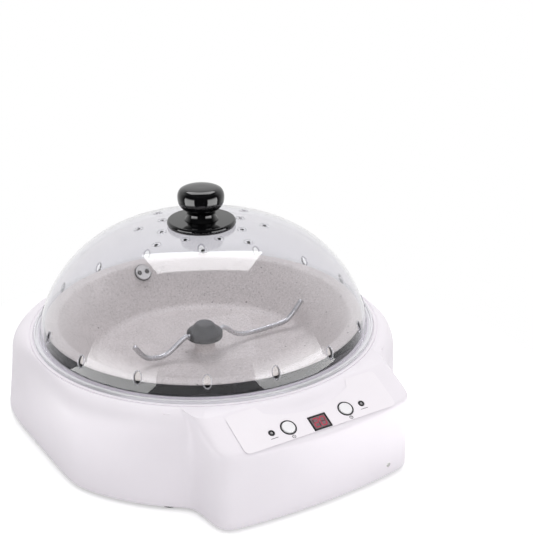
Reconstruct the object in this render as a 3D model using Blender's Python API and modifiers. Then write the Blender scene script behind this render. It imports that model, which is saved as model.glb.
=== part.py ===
"""Home coffee bean roaster: a heated pan with a stirrer, under a clear dome that lifts off.

Metres, +Z up. Everything is placed from the pan's axis, which stands behind the origin so
that the origin is the centre of the footprint, on the table. The control box faces -Y.
"""

from math import atan2, cos, exp, hypot, log, pi, radians, sin, sqrt, tan

import bmesh
import bpy
from mathutils import Matrix, Vector

# General fits
GAP = 0.0003                 # between pieces that touch
OVERRUN = 0.004              # how far a cutter passes the face it cuts
WELD = 0.00001               # points closer than this are one
FINE_STEPS = 40              # the dome and the pan
STEPS = 28                   # other large round pieces
BUTTON_STEPS = 20
SMALL_STEPS = 14             # lamps, pins and small holes
SCREW_STEPS = 10

# Heights that the rest is built from
FOOT_PROUD = 0.0035          # the housing's lower edge above the table
DECK_Z = 0.0730              # where the dome's flange rests
PAN_RISE = 0.0115            # the pan's lip above the deck
PAN_DEPTH = 0.0355

# Pan and its ring, from the axis outwards
PAN_LIP_R = 0.1208
PAN_T = 0.0013
PAN_LIP_W = 0.0095
PAN_MOUTH_IN = 0.0103        # from the lip's edge to the top of the sloping wall
PAN_WALL_RUN = 0.0260        # how far the wall slopes in
PAN_FLOOR_TURN = 0.0065
PAN_WALL_FOOT_RISE = 0.0022
PAN_COLLAR_R = 0.0080
PAN_COLLAR_RISE = 0.0095
PAN_BORE_R = 0.0056
RING_SET_IN = 0.0002         # the ring's head, inside the lip's edge
RING_FLARE = 0.0020
RING_WALL = 0.0022
RING_SEAT_W = 0.0050
SENSOR_R = 0.0065
SENSOR_T = 0.0022
SENSOR_IN = 0.0045           # from the top of the pan's wall
SENSOR_LIFT = 0.00055
SENSOR_SCREW_R = 0.0012
SENSOR_SCREW_H = 0.0007
SENSOR_SCREW_X = 0.0034

# Dome lid
RIM_CLEARANCE = 0.0009       # round the raised rim that locates the dome
DOME_WALL = 0.0018
DOME_RISE = 0.0790
DOME_OUT_POWER = 3.0         # above 2, the crown is flatter than a ball's
DOME_UP_POWER = 1.5          # below 2, the wall leans in sooner
DOME_HOLE_R = 0.0030
FLANGE_W = 0.0044
FLANGE_T = 0.0022
FLANGE_LIP_H = 0.0030
FLANGE_LIP_W = 0.0016
VENT_COUNT = 16
VENT_W = 0.0050
VENT_H = 0.0090
VENT_RISE = 0.0115           # middle of the vents above the flange
VENT_TURN = radians(16.7)
PIN_HOLE_R = 0.0014
PIN_RING_INNER_R = 0.0320
PIN_RING_OUTER_R = 0.0470
PIN_HOLE_COUNT = 8

# Knob
DISC_R = 0.0259
DISC_EDGE_T = 0.0042
DISC_STEP_R = 0.0006
KNOB_R = 0.0175
KNOB_H = 0.0250
# The knob's outline from its crown to its foot, as shares of its radius and height
KNOB_OUT_SHARES = (0.0, 0.46, 0.74, 0.885, 0.97, 1.0, 0.985, 0.93,
                   0.86, 0.74, 0.635, 0.605, 0.63, 0.685, 0.73)
KNOB_UP_SHARES = (1.0, 0.992, 0.962, 0.912, 0.82, 0.71, 0.56, 0.46,
                  0.39, 0.32, 0.262, 0.20, 0.12, 0.05, 0.0)
KNOB_SCREW_R = 0.0022
KNOB_SCREW_DEPTH = 0.0140
SCREW_HEAD_R = 0.0046
SCREW_HEAD_H = 0.0028
WASHER_R = 0.0080
WASHER_T = 0.0012

# Housing
WALL = 0.0025
RIM_W = 0.0056               # the raised rim that locates the dome
RIM_RISE = 0.0022
CREST_CLEARANCE = 0.0007     # round the dome's flange
CREST_W = 0.0023
CREST_RISE = 0.0012          # the rounded ring round the flange, above the deck
SIDE_SHOULDER_W = 0.0040     # from the crest out to the straight side walls
REAR_SHOULDER_W = 0.0030
FRONT_SHOULDER_W = 0.0135
SHOULDER_DROP = 0.0170       # the shoulder starts to turn in this far below the deck
DRAFT = 0.0015               # the wall is this much wider at its lower edge
REAR_BLEND_TOP = 0.062       # rounding of the rear corners in plan
REAR_BLEND_BASE = 0.050
ARC_BLEND = 0.002
COLLAR_DEPTH = 0.0070
COLLAR_WALL = 0.0025

# Control box and its sloping panel
BOX_HALF_X = 0.0800
BOX_BOW = 0.0070             # how far the front's corners stand back from its middle
BOX_CORNER_BLEND = 0.0085
BOX_JOIN_BLEND = 0.0040      # where the box's sides meet the round body
CREASE_BLEND = 0.0009        # where its panel meets the shoulder
PANEL_EDGE_BLEND = 0.0020
PANEL_TILT = radians(26.0)
ROW_OUT = 0.0078             # the row of buttons, outside the round front
ROW_DROP = 0.0101            # and below the deck
BOX_OUT = 0.0122             # the box's front, outside the row

# Panel pieces, measured in the plane of the panel
BUTTON_X = 0.0233
LAMP_X = 0.0366
BUTTON_R = 0.0048
BUTTON_PROUD = 0.0014
BUTTON_DEPTH = 0.0040
BUTTON_STEM_R = 0.0018
BUTTON_TRAVEL = 0.0012
BEZEL_WALL = 0.0005
BEZEL_FLANGE_W = 0.0013
BEZEL_FLANGE_T = 0.0010
BEZEL_PROUD = 0.0010
LAMP_R = 0.0011
LAMP_PROUD = 0.0010
LAMP_DEPTH = 0.0060
LAMP_RING_W = 0.0010
DISPLAY_DROP = 0.0033        # the display's centre, down the slope from the row
DISPLAY_W = 0.0140
DISPLAY_H = 0.0113
DISPLAY_FRAME_T = 0.0008
DISPLAY_PROUD = 0.0009
MODULE_SIDE_OVER = 0.0005    # the module past the window, at each side
MODULE_END_OVER = 0.0004
LABEL_T = 0.0004
LABEL_SET_IN = 0.0190        # from the box's sides
LABEL_LOW = 0.0096           # down the slope from the row
LABEL_CORNER_R = 0.0040
LABEL_SHOULDER_MARGIN = 0.0034
BOARD_DEPTH = 0.0120         # the control board below the panel's face
BOARD_T = 0.0016
BOARD_END_OVER = 0.0102      # past the lamps
BOARD_HALF_Y = 0.0110
BOARD_POST_R = 0.0026
BOARD_POST_OUT = 0.0067      # past the lamps
SWITCH_SIDE = 0.0060
SWITCH_BODY_H = 0.0035
SWITCH_PLUNGER_R = 0.0017
SWITCH_PLUNGER_H = 0.0010

# Drive and stirrer
SHAFT_R = 0.0035
SHAFT_PROUD = 0.0085         # above the pan's collar
SHAFT_FLAT = 0.0025          # the flat's distance from the axis
BUSH_FLANGE_W = 0.0020
BUSH_FLANGE_T = 0.0012
HUB_FOOT_R = 0.0140
HUB_FOOT_CLEAR = 0.0006      # above the bush's flange
HUB_TOP_R = 0.0084
HUB_CROWN = 0.0065           # above the shaft
HUB_CROWN_EDGE = 0.0045
HUB_EDGE_H = 0.0062
ARM_R = 0.0020
ARM_CLEAR = 0.0035           # between the arms and the pan's floor
ARM_RISE = 0.0036            # where the arms leave the hub, above its foot
ARM_SOCKET = 0.0022          # between the shaft and the arms' ends
LONG_ARM_SHORT_OF = 0.0080   # the long arm's bend, inside the edge of the floor
LONG_TIP_OUT = 0.0120        # its tip, outside that edge
LONG_TIP_RISE = 0.0150
SHORT_ARM_SHORT_OF = 0.0320
SHORT_TIP_RUN = 0.0140
SHORT_TIP_RISE = 0.0130

# Heater, shield and motor
HEATER_R = 0.0033
HEATER_SET_IN = 0.0160       # inside the edge of the pan's floor
HEATER_GAP_SHARE = 0.05      # share of the turn left open between its ends
HEATER_LEG_DROP = 0.0090     # below the shield
SHIELD_DROP = 0.0160         # the shield's floor below the pan's
SHIELD_T = 0.0010
SHIELD_BORE_R = 0.0140
SHIELD_SET_IN = 0.0128       # its wall, inside the pan's lip
SHIELD_WALL_RUN = 0.0100
SHIELD_TOP_DROP = 0.0130     # below the deck
SHIELD_LIP_W = 0.0040
POST_R = 0.0040
POST_SET_IN = 0.0060
POST_ANGLES = (30.0, 150.0, 270.0)
MOTOR_R = 0.0250
MOTOR_DROP = 0.0040          # below the shield
MOTOR_BOSS_R = 0.0080
MOTOR_BOSS_H = 0.0016
MOTOR_BORE_DEPTH = 0.0100
EAR_OUT = 0.0120             # the motor's ears, past its round body
EAR_HALF_Y = 0.0070
EAR_T = 0.0022
EAR_SCREW_OUT = 0.0060
BRACKET_T = 0.0014
BRACKET_CLEAR = 0.0046       # its legs, past the ears
BRACKET_HALF_Y = 0.0170
BRACKET_FOOT = 0.0120
MOTOR_SCREW_R = 0.0014
MOTOR_SCREW_HEAD_R = 0.0026
MOTOR_SCREW_HEAD_H = 0.0010
MOTOR_SCREW_UNDER = 0.0005   # its end past the ear
THERMOSTAT_R = 0.0080
THERMOSTAT_T = 0.0060
THERMOSTAT_SET_IN = 0.0200   # inside the edge of the shield's floor
FUSE_R = 0.0022
FUSE_L = 0.0160
FUSE_SET_IN = 0.0480

# Base
BASE_T = 0.0025
BASE_RECESS = 0.0008         # the plate above the housing's lower edge
FOOT_R = 0.0080
FOOT_SET_IN = 0.0102         # inside the round front
FRONT_FOOT_ANGLE = radians(-50.1)
REAR_FOOT_ANGLE = radians(45.0)
FOOT_POCKET_DEPTH = 0.0022
BASE_SCREW_R = 0.0016
BASE_SCREW_HEAD_R = 0.0034
BASE_SCREW_HEAD_H = 0.0014
BASE_SCREW_HEAD_CLEAR = 0.0008
BASE_SCREW_REACH = 0.0092    # into the posts
BASE_POST_R = 0.0045
SLOT_W = 0.0052
SLOT_L = 0.0240
SLOT_PITCH = 0.0098
SLOTS_A_SIDE = 2             # each side of the middle slot
SLOT_CLEAR = 0.0080          # between the vents and the motor's bracket
POWER_BOARD_HALF_X = 0.0350
POWER_BOARD_HALF_Y = 0.0220
POWER_BOARD_SET_IN = 0.0570  # its middle, inside the rear wall
POWER_BOARD_RISE = 0.0050    # above the base plate
POWER_POST_R = 0.0030
POWER_POST_IN = 0.0050
RELAY_LENGTH = 0.0190
RELAY_WIDTH = 0.0155
RELAY_H = 0.0120
RELAY_SET_IN = 0.0170        # its middle, from the end of the power board
FRONT_SCREW_SET_IN = 0.0240  # from the box's side
FRONT_SCREW_RISE = 0.0052    # above the base plate
FRONT_SCREW_R = 0.0015
FRONT_SCREW_HEAD_R = 0.0030
FRONT_SCREW_HEAD_H = 0.0010
FRONT_RECESS_CLEAR = 0.0012
FRONT_RECESS_DEPTH = 0.0014
TAB_HALF_X = 0.0060
TAB_T = 0.0060
TAB_OVER = 0.0070            # above the screw
GLAND_RISE = 0.0152          # above the base plate
GLAND_R = 0.0058
GLAND_FLANGE_W = 0.0027
GLAND_FLANGE_T = 0.0020
GLAND_TIP_L = 0.0120
GLAND_TIP_WALL = 0.0012
GLAND_BORE_R = 0.0034

# Round sizes that follow
RING_HEAD_R = PAN_LIP_R - RING_SET_IN
RING_FOOT_R = RING_HEAD_R + RING_FLARE
RIM_OUTER_R = RING_FOOT_R + GAP
RIM_INNER_R = RIM_OUTER_R - RIM_W
DOME_R = RIM_OUTER_R + RIM_CLEARANCE + DOME_WALL
FLANGE_R = DOME_R + FLANGE_W
CREST_INNER_R = FLANGE_R + CREST_CLEARANCE
CREST_R = CREST_INNER_R + CREST_W
PAN_WALL_TOP_R = PAN_LIP_R - PAN_MOUTH_IN
PAN_WALL_FOOT_R = PAN_WALL_TOP_R - PAN_WALL_RUN
PAN_FLOOR_R = PAN_WALL_FOOT_R - PAN_FLOOR_TURN
SENSOR_AT = PAN_WALL_TOP_R - SENSOR_IN
HEATER_RING_R = PAN_FLOOR_R - HEATER_SET_IN
SHIELD_WALL_R = PAN_LIP_R - SHIELD_SET_IN
SHIELD_FLOOR_R = SHIELD_WALL_R - SHIELD_WALL_RUN
BUSH_R = PAN_BORE_R - GAP
BUSH_FLANGE_R = PAN_BORE_R + BUSH_FLANGE_W
BEZEL_R = BUTTON_R + GAP + BEZEL_WALL
BEZEL_FLANGE_R = BEZEL_R + BEZEL_FLANGE_W
LAMP_RING_R = LAMP_R + LAMP_RING_W
FOOT_POCKET_R = BASE_SCREW_HEAD_R + BASE_SCREW_HEAD_CLEAR
FRONT_RECESS_R = FRONT_SCREW_HEAD_R + FRONT_RECESS_CLEAR

# Plan sizes that follow
SIDE_X = CREST_R + SIDE_SHOULDER_W
REAR_Y = CREST_R + REAR_SHOULDER_W
FRONT_ARC_R = CREST_R + FRONT_SHOULDER_W
ROW_Y = FRONT_ARC_R + ROW_OUT
BOX_FRONT_Y = ROW_Y + BOX_OUT
LABEL_HALF_X = BOX_HALF_X - LABEL_SET_IN
BOARD_HALF_X = LAMP_X + BOARD_END_OVER
BOARD_POST_X = LAMP_X + BOARD_POST_OUT
MODULE_W = DISPLAY_W + MODULE_SIDE_OVER * 2
MODULE_H = DISPLAY_H + MODULE_END_OVER * 2
EAR_HALF_X = MOTOR_R + EAR_OUT
EAR_SCREW_X = MOTOR_R + EAR_SCREW_OUT
BRACKET_HALF_X = EAR_HALF_X + BRACKET_CLEAR + BRACKET_T
FOOT_AT = FRONT_ARC_R - FOOT_SET_IN
POWER_BOARD_Y = REAR_Y - POWER_BOARD_SET_IN
RELAY_AT_X = POWER_BOARD_HALF_X - RELAY_SET_IN
SLOT_Y = BRACKET_HALF_Y + SLOT_CLEAR + SLOT_L / 2
FRONT_SCREW_X = BOX_HALF_X - FRONT_SCREW_SET_IN
GLAND_FLANGE_R = GLAND_R + GLAND_FLANGE_W
GLAND_TIP_R = GLAND_BORE_R + GLAND_TIP_WALL
GLAND_REACH = GLAND_FLANGE_T + GLAND_TIP_L
AXIS_Y = (BOX_FRONT_Y - (REAR_Y + DRAFT + GAP + GLAND_REACH)) / 2

# Heights that follow
CREST_Z = DECK_Z + CREST_RISE
RIM_Z = DECK_Z + RIM_RISE
SHOULDER_Z = DECK_Z - SHOULDER_DROP
ROW_Z = DECK_Z - ROW_DROP
BASE_PLATE_Z = FOOT_PROUD + BASE_RECESS
BASE_TOP_Z = BASE_PLATE_Z + BASE_T
BASE_POST_TOP_Z = DECK_Z - WALL / 2
BASE_SCREW_TOP_Z = BASE_TOP_Z + BASE_SCREW_REACH
PAN_LIP_Z = DECK_Z + PAN_RISE
PAN_FLOOR_Z = PAN_LIP_Z - PAN_DEPTH
PAN_COLLAR_Z = PAN_FLOOR_Z + PAN_COLLAR_RISE
SHAFT_TOP_Z = PAN_COLLAR_Z + SHAFT_PROUD
HUB_FOOT_Z = PAN_COLLAR_Z + GAP + BUSH_FLANGE_T + HUB_FOOT_CLEAR
HUB_TOP_Z = SHAFT_TOP_Z + HUB_CROWN
ARM_Z = PAN_FLOOR_Z + ARM_CLEAR + ARM_R
ARM_START_Z = HUB_FOOT_Z + ARM_RISE
SHIELD_Z = PAN_FLOOR_Z - SHIELD_DROP
SHIELD_TOP_Z = DECK_Z - SHIELD_TOP_DROP
MOTOR_TOP_Z = SHIELD_Z - MOTOR_DROP
FRONT_SCREW_Z = BASE_TOP_Z + FRONT_SCREW_RISE
GLAND_Z = BASE_TOP_Z + GLAND_RISE
FLANGE_Z = DECK_Z + GAP
DOME_FOOT_Z = FLANGE_Z + FLANGE_T
VENT_Z = DOME_FOOT_Z + VENT_RISE
SLOPE = tan(PANEL_TILT)
MODEL = "coffee_roaster"


# Scene and materials

def clear_scene():
    for old in list(bpy.data.objects):
        bpy.data.objects.remove(old, do_unlink=True)


def collection(name):
    made = bpy.data.collections.new(name)
    bpy.context.scene.collection.children.link(made)
    return made


def material(name, colour, roughness, metallic=0.0, alpha=1.0):
    made = bpy.data.materials.get(name) or bpy.data.materials.new(name)
    made.use_nodes = True
    shader = made.node_tree.nodes["Principled BSDF"]
    shader.inputs["Base Color"].default_value = (*colour, 1.0)
    shader.inputs["Roughness"].default_value = roughness
    shader.inputs["Metallic"].default_value = metallic
    shader.inputs["Alpha"].default_value = alpha
    return made


def white_plastic():
    return material("white_plastic", (0.82, 0.81, 0.84), 0.35)


def clear_plastic():
    return material("clear_plastic", (0.93, 0.93, 0.96), 0.05, alpha=0.25)


def black_gloss():
    return material("black_gloss", (0.012, 0.012, 0.014), 0.12)


def black_matt():
    return material("black_matt", (0.03, 0.03, 0.032), 0.6)


def speckled_coating():
    return material("speckled_coating", (0.62, 0.61, 0.60), 0.5)


def steel():
    return material("steel", (0.60, 0.60, 0.62), 0.3, 1.0)


def dark_steel():
    return material("dark_steel", (0.16, 0.16, 0.17), 0.45, 1.0)


def bronze():
    return material("bronze", (0.45, 0.30, 0.14), 0.4, 1.0)


def rubber():
    return material("rubber", (0.02, 0.02, 0.02), 0.85)


def board_green():
    return material("board_green", (0.02, 0.16, 0.07), 0.5)


def part_black():
    return material("part_black", (0.02, 0.02, 0.022), 0.45)


def display_red():
    return material("display_red", (0.10, 0.02, 0.02), 0.15)


def lamp_lens():
    return material("lamp_lens", (0.75, 0.74, 0.72), 0.2)


def label_film():
    return material("label_film", (0.84, 0.83, 0.85), 0.3)


# Mesh helpers

class Builder:
    """Makes objects under the pan's axis, in the collection of parts or of cutters."""

    def __init__(self):
        self.parts = collection(MODEL)
        self.cutters = collection("cutters")
        self.axis = bpy.data.objects.new("pan_axis", None)
        self.axis.location = (0, AXIS_Y, 0)
        self.parts.objects.link(self.axis)

    def place(self, name, data, finish, matrix=None, parent=None):
        """A part: its data under the pan's axis, at a matrix in the axis's frame."""
        made = bpy.data.objects.new(name, data)
        self.parts.objects.link(made)
        made.parent = parent or self.axis
        if matrix is not None:
            made.matrix_local = matrix
        if finish is not None:
            data.materials.append(finish)
        return made

    def cutter(self, name, data, matrix=None):
        made = bpy.data.objects.new(name, data)
        self.cutters.objects.link(made)
        made.parent = self.axis
        if matrix is not None:
            made.matrix_local = matrix
        made.hide_render = True
        made.display_type = "WIRE"
        return made

    def cut(self, piece, cutter, operation="DIFFERENCE"):
        change = piece.modifiers.new(f"{operation.lower()}_{cutter.name}", "BOOLEAN")
        change.operation = operation
        change.object = cutter
        change.solver = "EXACT"
        return change


def mesh_from(build, name):
    """A mesh from a function that fills a bmesh."""
    work = bmesh.new()
    build(work)
    bmesh.ops.recalc_face_normals(work, faces=work.faces)
    mesh = bpy.data.meshes.new(name)
    work.to_mesh(mesh)
    work.free()
    return mesh


def round_smooth(mesh, angle=radians(35.0)):
    mesh.shade_smooth()
    mesh.set_sharp_from_angle(angle=angle)
    return mesh


def cylinder_mesh(name, radius, low, high, steps=SMALL_STEPS):
    """A cylinder on its own Z axis."""
    def build(work):
        bmesh.ops.create_cone(
            work, cap_ends=True, segments=steps, radius1=radius, radius2=radius,
            depth=high - low, matrix=Matrix.Translation((0, 0, (low + high) / 2)))
    return round_smooth(mesh_from(build, name))


def box_mesh(name, low, high):
    """A box between two corners."""
    size = [b - a for a, b in zip(low, high)]
    middle = [(a + b) / 2 for a, b in zip(low, high)]

    def build(work):
        bmesh.ops.create_cube(
            work, size=1.0, matrix=Matrix.Translation(middle) @ Matrix.Diagonal((*size, 1.0)))
    return mesh_from(build, name)


def bevelled(piece, width, segments=2):
    change = piece.modifiers.new("rounded_edges", "BEVEL")
    change.width = width
    change.segments = segments
    change.limit_method = "ANGLE"
    return piece


def profile_mesh(name, points, closed):
    """Edges through (radius, height) points, for a Screw modifier."""
    mesh = bpy.data.meshes.new(name)
    count = len(points)
    edges = [(i, i + 1) for i in range(count - 1)]
    if closed:
        edges.append((count - 1, 0))
    mesh.from_pydata([(r, 0, z) for r, z in points], edges, [])
    return mesh


def turn(piece, steps):
    """Spin the piece's profile about its own Z axis."""
    change = piece.modifiers.new("turned", "SCREW")
    change.axis = "Z"
    change.steps = steps
    change.render_steps = steps
    change.use_merge_vertices = True
    change.merge_threshold = WELD
    change.use_smooth_shade = True
    return piece


def arc_points(centre, radius, start, stop, count):
    """Points on an arc in the profile plane; angles in degrees from +R towards +Z."""
    points = []
    for i in range(count):
        angle = radians(start + (stop - start) * i / (count - 1))
        points.append((centre[0] + radius * cos(angle), centre[1] + radius * sin(angle)))
    return points


def circle_outline(x, y, radius, count=SMALL_STEPS):
    return [(x + radius * cos(2 * pi * i / count), y + radius * sin(2 * pi * i / count))
            for i in range(count)]


def slot_outline(x, y, width, length, count=6):
    """A slot with round ends, long in Y."""
    points = []
    for centre_y, start in ((y + (length - width) / 2, 0.0), (y - (length - width) / 2, pi)):
        for i in range(count + 1):
            angle = start + pi * i / count
            points.append((x + width / 2 * cos(angle), centre_y + width / 2 * sin(angle)))
    return points


def rectangle_outline(x, y, half_x, half_y):
    return [(x - half_x, y - half_y), (x + half_x, y - half_y),
            (x + half_x, y + half_y), (x - half_x, y + half_y)]


def plate_curve(name, outlines, thickness):
    """A flat plate: the first outline filled, the others left as holes, centred on z = 0."""
    curve = bpy.data.curves.new(name, "CURVE")
    curve.dimensions = "2D"
    curve.fill_mode = "BOTH"
    curve.extrude = thickness / 2
    for outline in outlines:
        spline = curve.splines.new("POLY")
        spline.points.add(len(outline) - 1)
        for point, (x, y) in zip(spline.points, outline):
            point.co = (x, y, 0, 1)
        spline.use_cyclic_u = True
    return curve


def tube_curve(name, points, radius):
    """A round rod through its points."""
    curve = bpy.data.curves.new(name, "CURVE")
    curve.dimensions = "3D"
    curve.bevel_depth = radius
    curve.bevel_resolution = 2
    curve.use_fill_caps = True
    spline = curve.splines.new("POLY")
    spline.points.add(len(points) - 1)
    for point, place in zip(spline.points, points):
        point.co = (*place, 1)
    return curve


def as_mesh(piece):
    """Turn a curve object into a mesh object with welded caps, so that it can be cut."""
    bpy.context.view_layer.update()
    evaluated = piece.evaluated_get(bpy.context.evaluated_depsgraph_get())
    mesh = bpy.data.meshes.new_from_object(evaluated)
    work = bmesh.new()
    work.from_mesh(mesh)
    bmesh.ops.remove_doubles(work, verts=work.verts, dist=WELD)
    bmesh.ops.recalc_face_normals(work, faces=work.faces)
    work.to_mesh(mesh)
    work.free()
    name = piece.name
    made = bpy.data.objects.new(name + "_mesh", mesh)
    for owner in piece.users_collection:
        owner.objects.link(made)
    made.parent = piece.parent
    made.matrix_local = piece.matrix_local.copy()
    old = piece.data
    bpy.data.objects.remove(piece, do_unlink=True)
    bpy.data.curves.remove(old)
    made.name = name
    return made


def smoothed_path(points, per_span=3):
    """Points along a smooth curve (Catmull-Rom) through the given ones."""
    path = [Vector(p) for p in points]
    ends = [2 * path[0] - path[1]] + path + [2 * path[-1] - path[-2]]
    made = []
    for i in range(1, len(ends) - 2):
        a, b, c, d = ends[i - 1:i + 3]
        for step in range(per_span):
            t = step / per_span
            made.append(0.5 * ((2 * b) + (c - a) * t + (2 * a - 5 * b + 4 * c - d) * t ** 2
                               + (3 * b - a - 3 * c + d) * t ** 3))
    made.append(path[-1])
    return [tuple(p) for p in made]


# The housing's outline, seen from above, as a radius at each angle and height

def smooth_min(a, b, blend):
    low = min(a, b)
    return low - blend * log(exp((low - a) / blend) + exp((low - b) / blend))


def smooth_max(a, b, blend):
    return -smooth_min(-a, -b, blend)


def wall_share(height):
    """0 at the lower edge of the housing, 1 where the shoulder starts."""
    return min(max((height - FOOT_PROUD) / (SHOULDER_Z - FOOT_PROUD), 0.0), 1.0)


def body_radius(angle, height, inset):
    """The round body with its straight sides and squarer rear corners."""
    share = wall_share(height)
    draft = DRAFT * (1 - share)
    side = (SIDE_X + draft - inset) / max(abs(cos(angle)), 1e-6)
    if sin(angle) > 0:
        rear = (REAR_Y + draft - inset) / max(sin(angle), 1e-6)
        blend = REAR_BLEND_BASE + (REAR_BLEND_TOP - REAR_BLEND_BASE) * share
        wall = smooth_min(side, rear, blend)
    else:
        wall = smooth_min(side, FRONT_ARC_R + draft - inset, ARC_BLEND)
    if height <= SHOULDER_Z:
        return wall
    top = CREST_Z if inset == 0 else DECK_Z - inset
    crest = CREST_R if inset == 0 else CREST_INNER_R
    rise = min((height - SHOULDER_Z) / (top - SHOULDER_Z), 1.0)
    return crest + (wall - crest) * sqrt(1 - rise ** 2)


def box_radius(angle, height, inset):
    """The control box: two sides, a bowed front and the sloping panel on top."""
    forward = -sin(angle)
    across = abs(cos(angle))
    if forward <= 1e-6:
        return 0.0
    side = (BOX_HALF_X - inset) / max(across, 1e-6)
    front = BOX_FRONT_Y - inset
    if across < 1e-4:
        bowed = front / forward
    else:
        bend = BOX_BOW / BOX_HALF_X ** 2 * across ** 2
        bowed = (-forward + sqrt(forward ** 2 + 4 * bend * front)) / (2 * bend)
    panel = (ROW_Y - (height + inset / cos(PANEL_TILT) - ROW_Z) / SLOPE) / forward
    front_or_panel = smooth_min(bowed, max(panel, 0.0), PANEL_EDGE_BLEND)
    return smooth_min(side, front_or_panel, BOX_CORNER_BLEND)


def join_blend(height):
    """Soft up the box's sides, then tighter and tighter up the panel."""
    foot = panel_foot_z() - BOX_CORNER_BLEND
    share = min(max((height - foot) / (ROW_Z - foot), 0.0), 1.0)
    return BOX_JOIN_BLEND + (CREASE_BLEND - BOX_JOIN_BLEND) * share


def housing_radius(angle, height, inset=0.0):
    body = body_radius(angle, height, inset)
    return smooth_max(body, box_radius(angle, height, inset), join_blend(height))


def corner_angle(height, inset):
    """Where the control box's corner is at a height, measured from the front."""
    front = BOX_FRONT_Y - BOX_BOW - inset
    panel = ROW_Y - (height + inset / cos(PANEL_TILT) - ROW_Z) / SLOPE
    return atan2(BOX_HALF_X - inset, min(front, panel))


def ring_angles(height=0.0, inset=0.0):
    """Angles round the housing, closer together at the corners of the control box."""
    corner = corner_angle(min(height, CREST_Z), inset)
    near, far = corner * 0.70, corner * 1.45
    side, rear = pi * 0.53, pi * 0.92
    spans = ((0.0, near, 3), (near, far, 8), (far, side, 7), (side, rear, 8), (rear, pi, 2))
    half = [a + (b - a) * i / n for a, b, n in spans for i in range(n)] + [pi]
    turned = [-pi / 2 + a for a in half] + [-pi / 2 - a for a in reversed(half[1:-1])]
    return turned


def ring(height, inset=0.0):
    """One level of the housing's wall."""
    points = []
    for angle in ring_angles(height, inset):
        radius = housing_radius(angle, height, inset)
        points.append((radius * cos(angle), radius * sin(angle), height))
    return points


def round_ring(radius, height):
    return [(radius * cos(a), radius * sin(a), height) for a in ring_angles(CREST_Z)]


def loft_mesh(name, rings):
    """A closed skin through rings of equal count, the last joined to the first."""
    def build(work):
        rows = [[work.verts.new(p) for p in one] for one in rings]
        count = len(rows[0])
        for i, row in enumerate(rows):
            above = rows[(i + 1) % len(rows)]
            for j in range(count):
                k = (j + 1) % count
                work.faces.new((row[j], row[k], above[k], above[j]))
    return round_smooth(mesh_from(build, name), radians(30.0))


def heights(low, high, count):
    return [low + (high - low) * i / (count - 1) for i in range(count)]


# The panel's own frame: X across, Y up the slope, Z out of the panel

def panel_matrix(across=0.0, down=0.0, out=0.0):
    turned = Matrix.Rotation(PANEL_TILT, 4, "X")
    return Matrix.Translation((0, -ROW_Y, ROW_Z)) @ turned @ Matrix.Translation((across, -down, out))


# Dome, as the radius's height above the flange

def dome_height(radius, inset=0.0):
    share = min(radius / (DOME_R - inset), 1.0)
    rise = DOME_RISE - inset
    return DOME_FOOT_Z + rise * (1 - share ** DOME_OUT_POWER) ** (1 / DOME_UP_POWER)


def dome_curve(inset, start, count):
    """(radius, height) from the top down to the foot, evenly turned."""
    points = []
    for i in range(count):
        turned = pi / 2 * i / (count - 1)
        radius = max(start, (DOME_R - inset) * sin(turned))
        points.append((radius, dome_height(radius, inset)))
    return points


def build_lid(kit):
    lid_origin = Matrix.Translation((0, 0, 0))
    outer = dome_curve(0.0, DOME_HOLE_R, 11)
    inner = dome_curve(DOME_WALL, DOME_HOLE_R, 8)
    root = FLANGE_Z + FLANGE_T
    flange = [
        (FLANGE_R - FLANGE_LIP_W, root),
        (FLANGE_R - FLANGE_LIP_W, FLANGE_Z + FLANGE_LIP_H),
        (FLANGE_R, FLANGE_Z + FLANGE_LIP_H),
        (FLANGE_R, FLANGE_Z),
        (DOME_R - DOME_WALL, FLANGE_Z),
    ]
    profile = outer + flange + list(reversed(inner))
    dome = turn(kit.place("lid_dome", profile_mesh("lid_dome", profile, True),
                          clear_plastic(), lid_origin), FINE_STEPS)
    kit.cut(dome, kit.cutter("vent_slots", vent_mesh()))
    kit.cut(dome, kit.cutter("pin_holes", pin_hole_mesh()))
    build_knob(kit)


def vent_mesh():
    """Upright oval holes through the dome's wall, all round."""
    reach = DOME_R - DOME_WALL * 2

    def build(work):
        for i in range(VENT_COUNT):
            angle = VENT_TURN + 2 * pi * i / VENT_COUNT
            spin = Matrix.Rotation(angle, 4, "Z") @ Matrix.Translation((reach, 0, VENT_Z))
            lay = Matrix.Rotation(pi / 2, 4, "Y")
            shape = Matrix.Diagonal((VENT_H / 2, VENT_W / 2, 1.0, 1.0))
            bmesh.ops.create_cone(work, cap_ends=True, segments=8, radius1=1.0, radius2=1.0,
                                  depth=OVERRUN * 4, matrix=spin @ lay @ shape)
    return mesh_from(build, "vent_slots")


def pin_hole_mesh():
    """Two rings of small round holes near the top of the dome."""
    def build(work):
        for which, radius in enumerate((PIN_RING_INNER_R, PIN_RING_OUTER_R)):
            for i in range(PIN_HOLE_COUNT):
                angle = VENT_TURN + 2 * pi * (i + (1 - which) / 2) / PIN_HOLE_COUNT
                at = Matrix.Rotation(angle, 4, "Z") @ Matrix.Translation(
                    (radius, 0, dome_height(radius)))
                bmesh.ops.create_cone(work, cap_ends=True, segments=6, radius1=PIN_HOLE_R,
                                      radius2=PIN_HOLE_R, depth=OVERRUN * 3, matrix=at)
    return mesh_from(build, "pin_holes")


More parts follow.
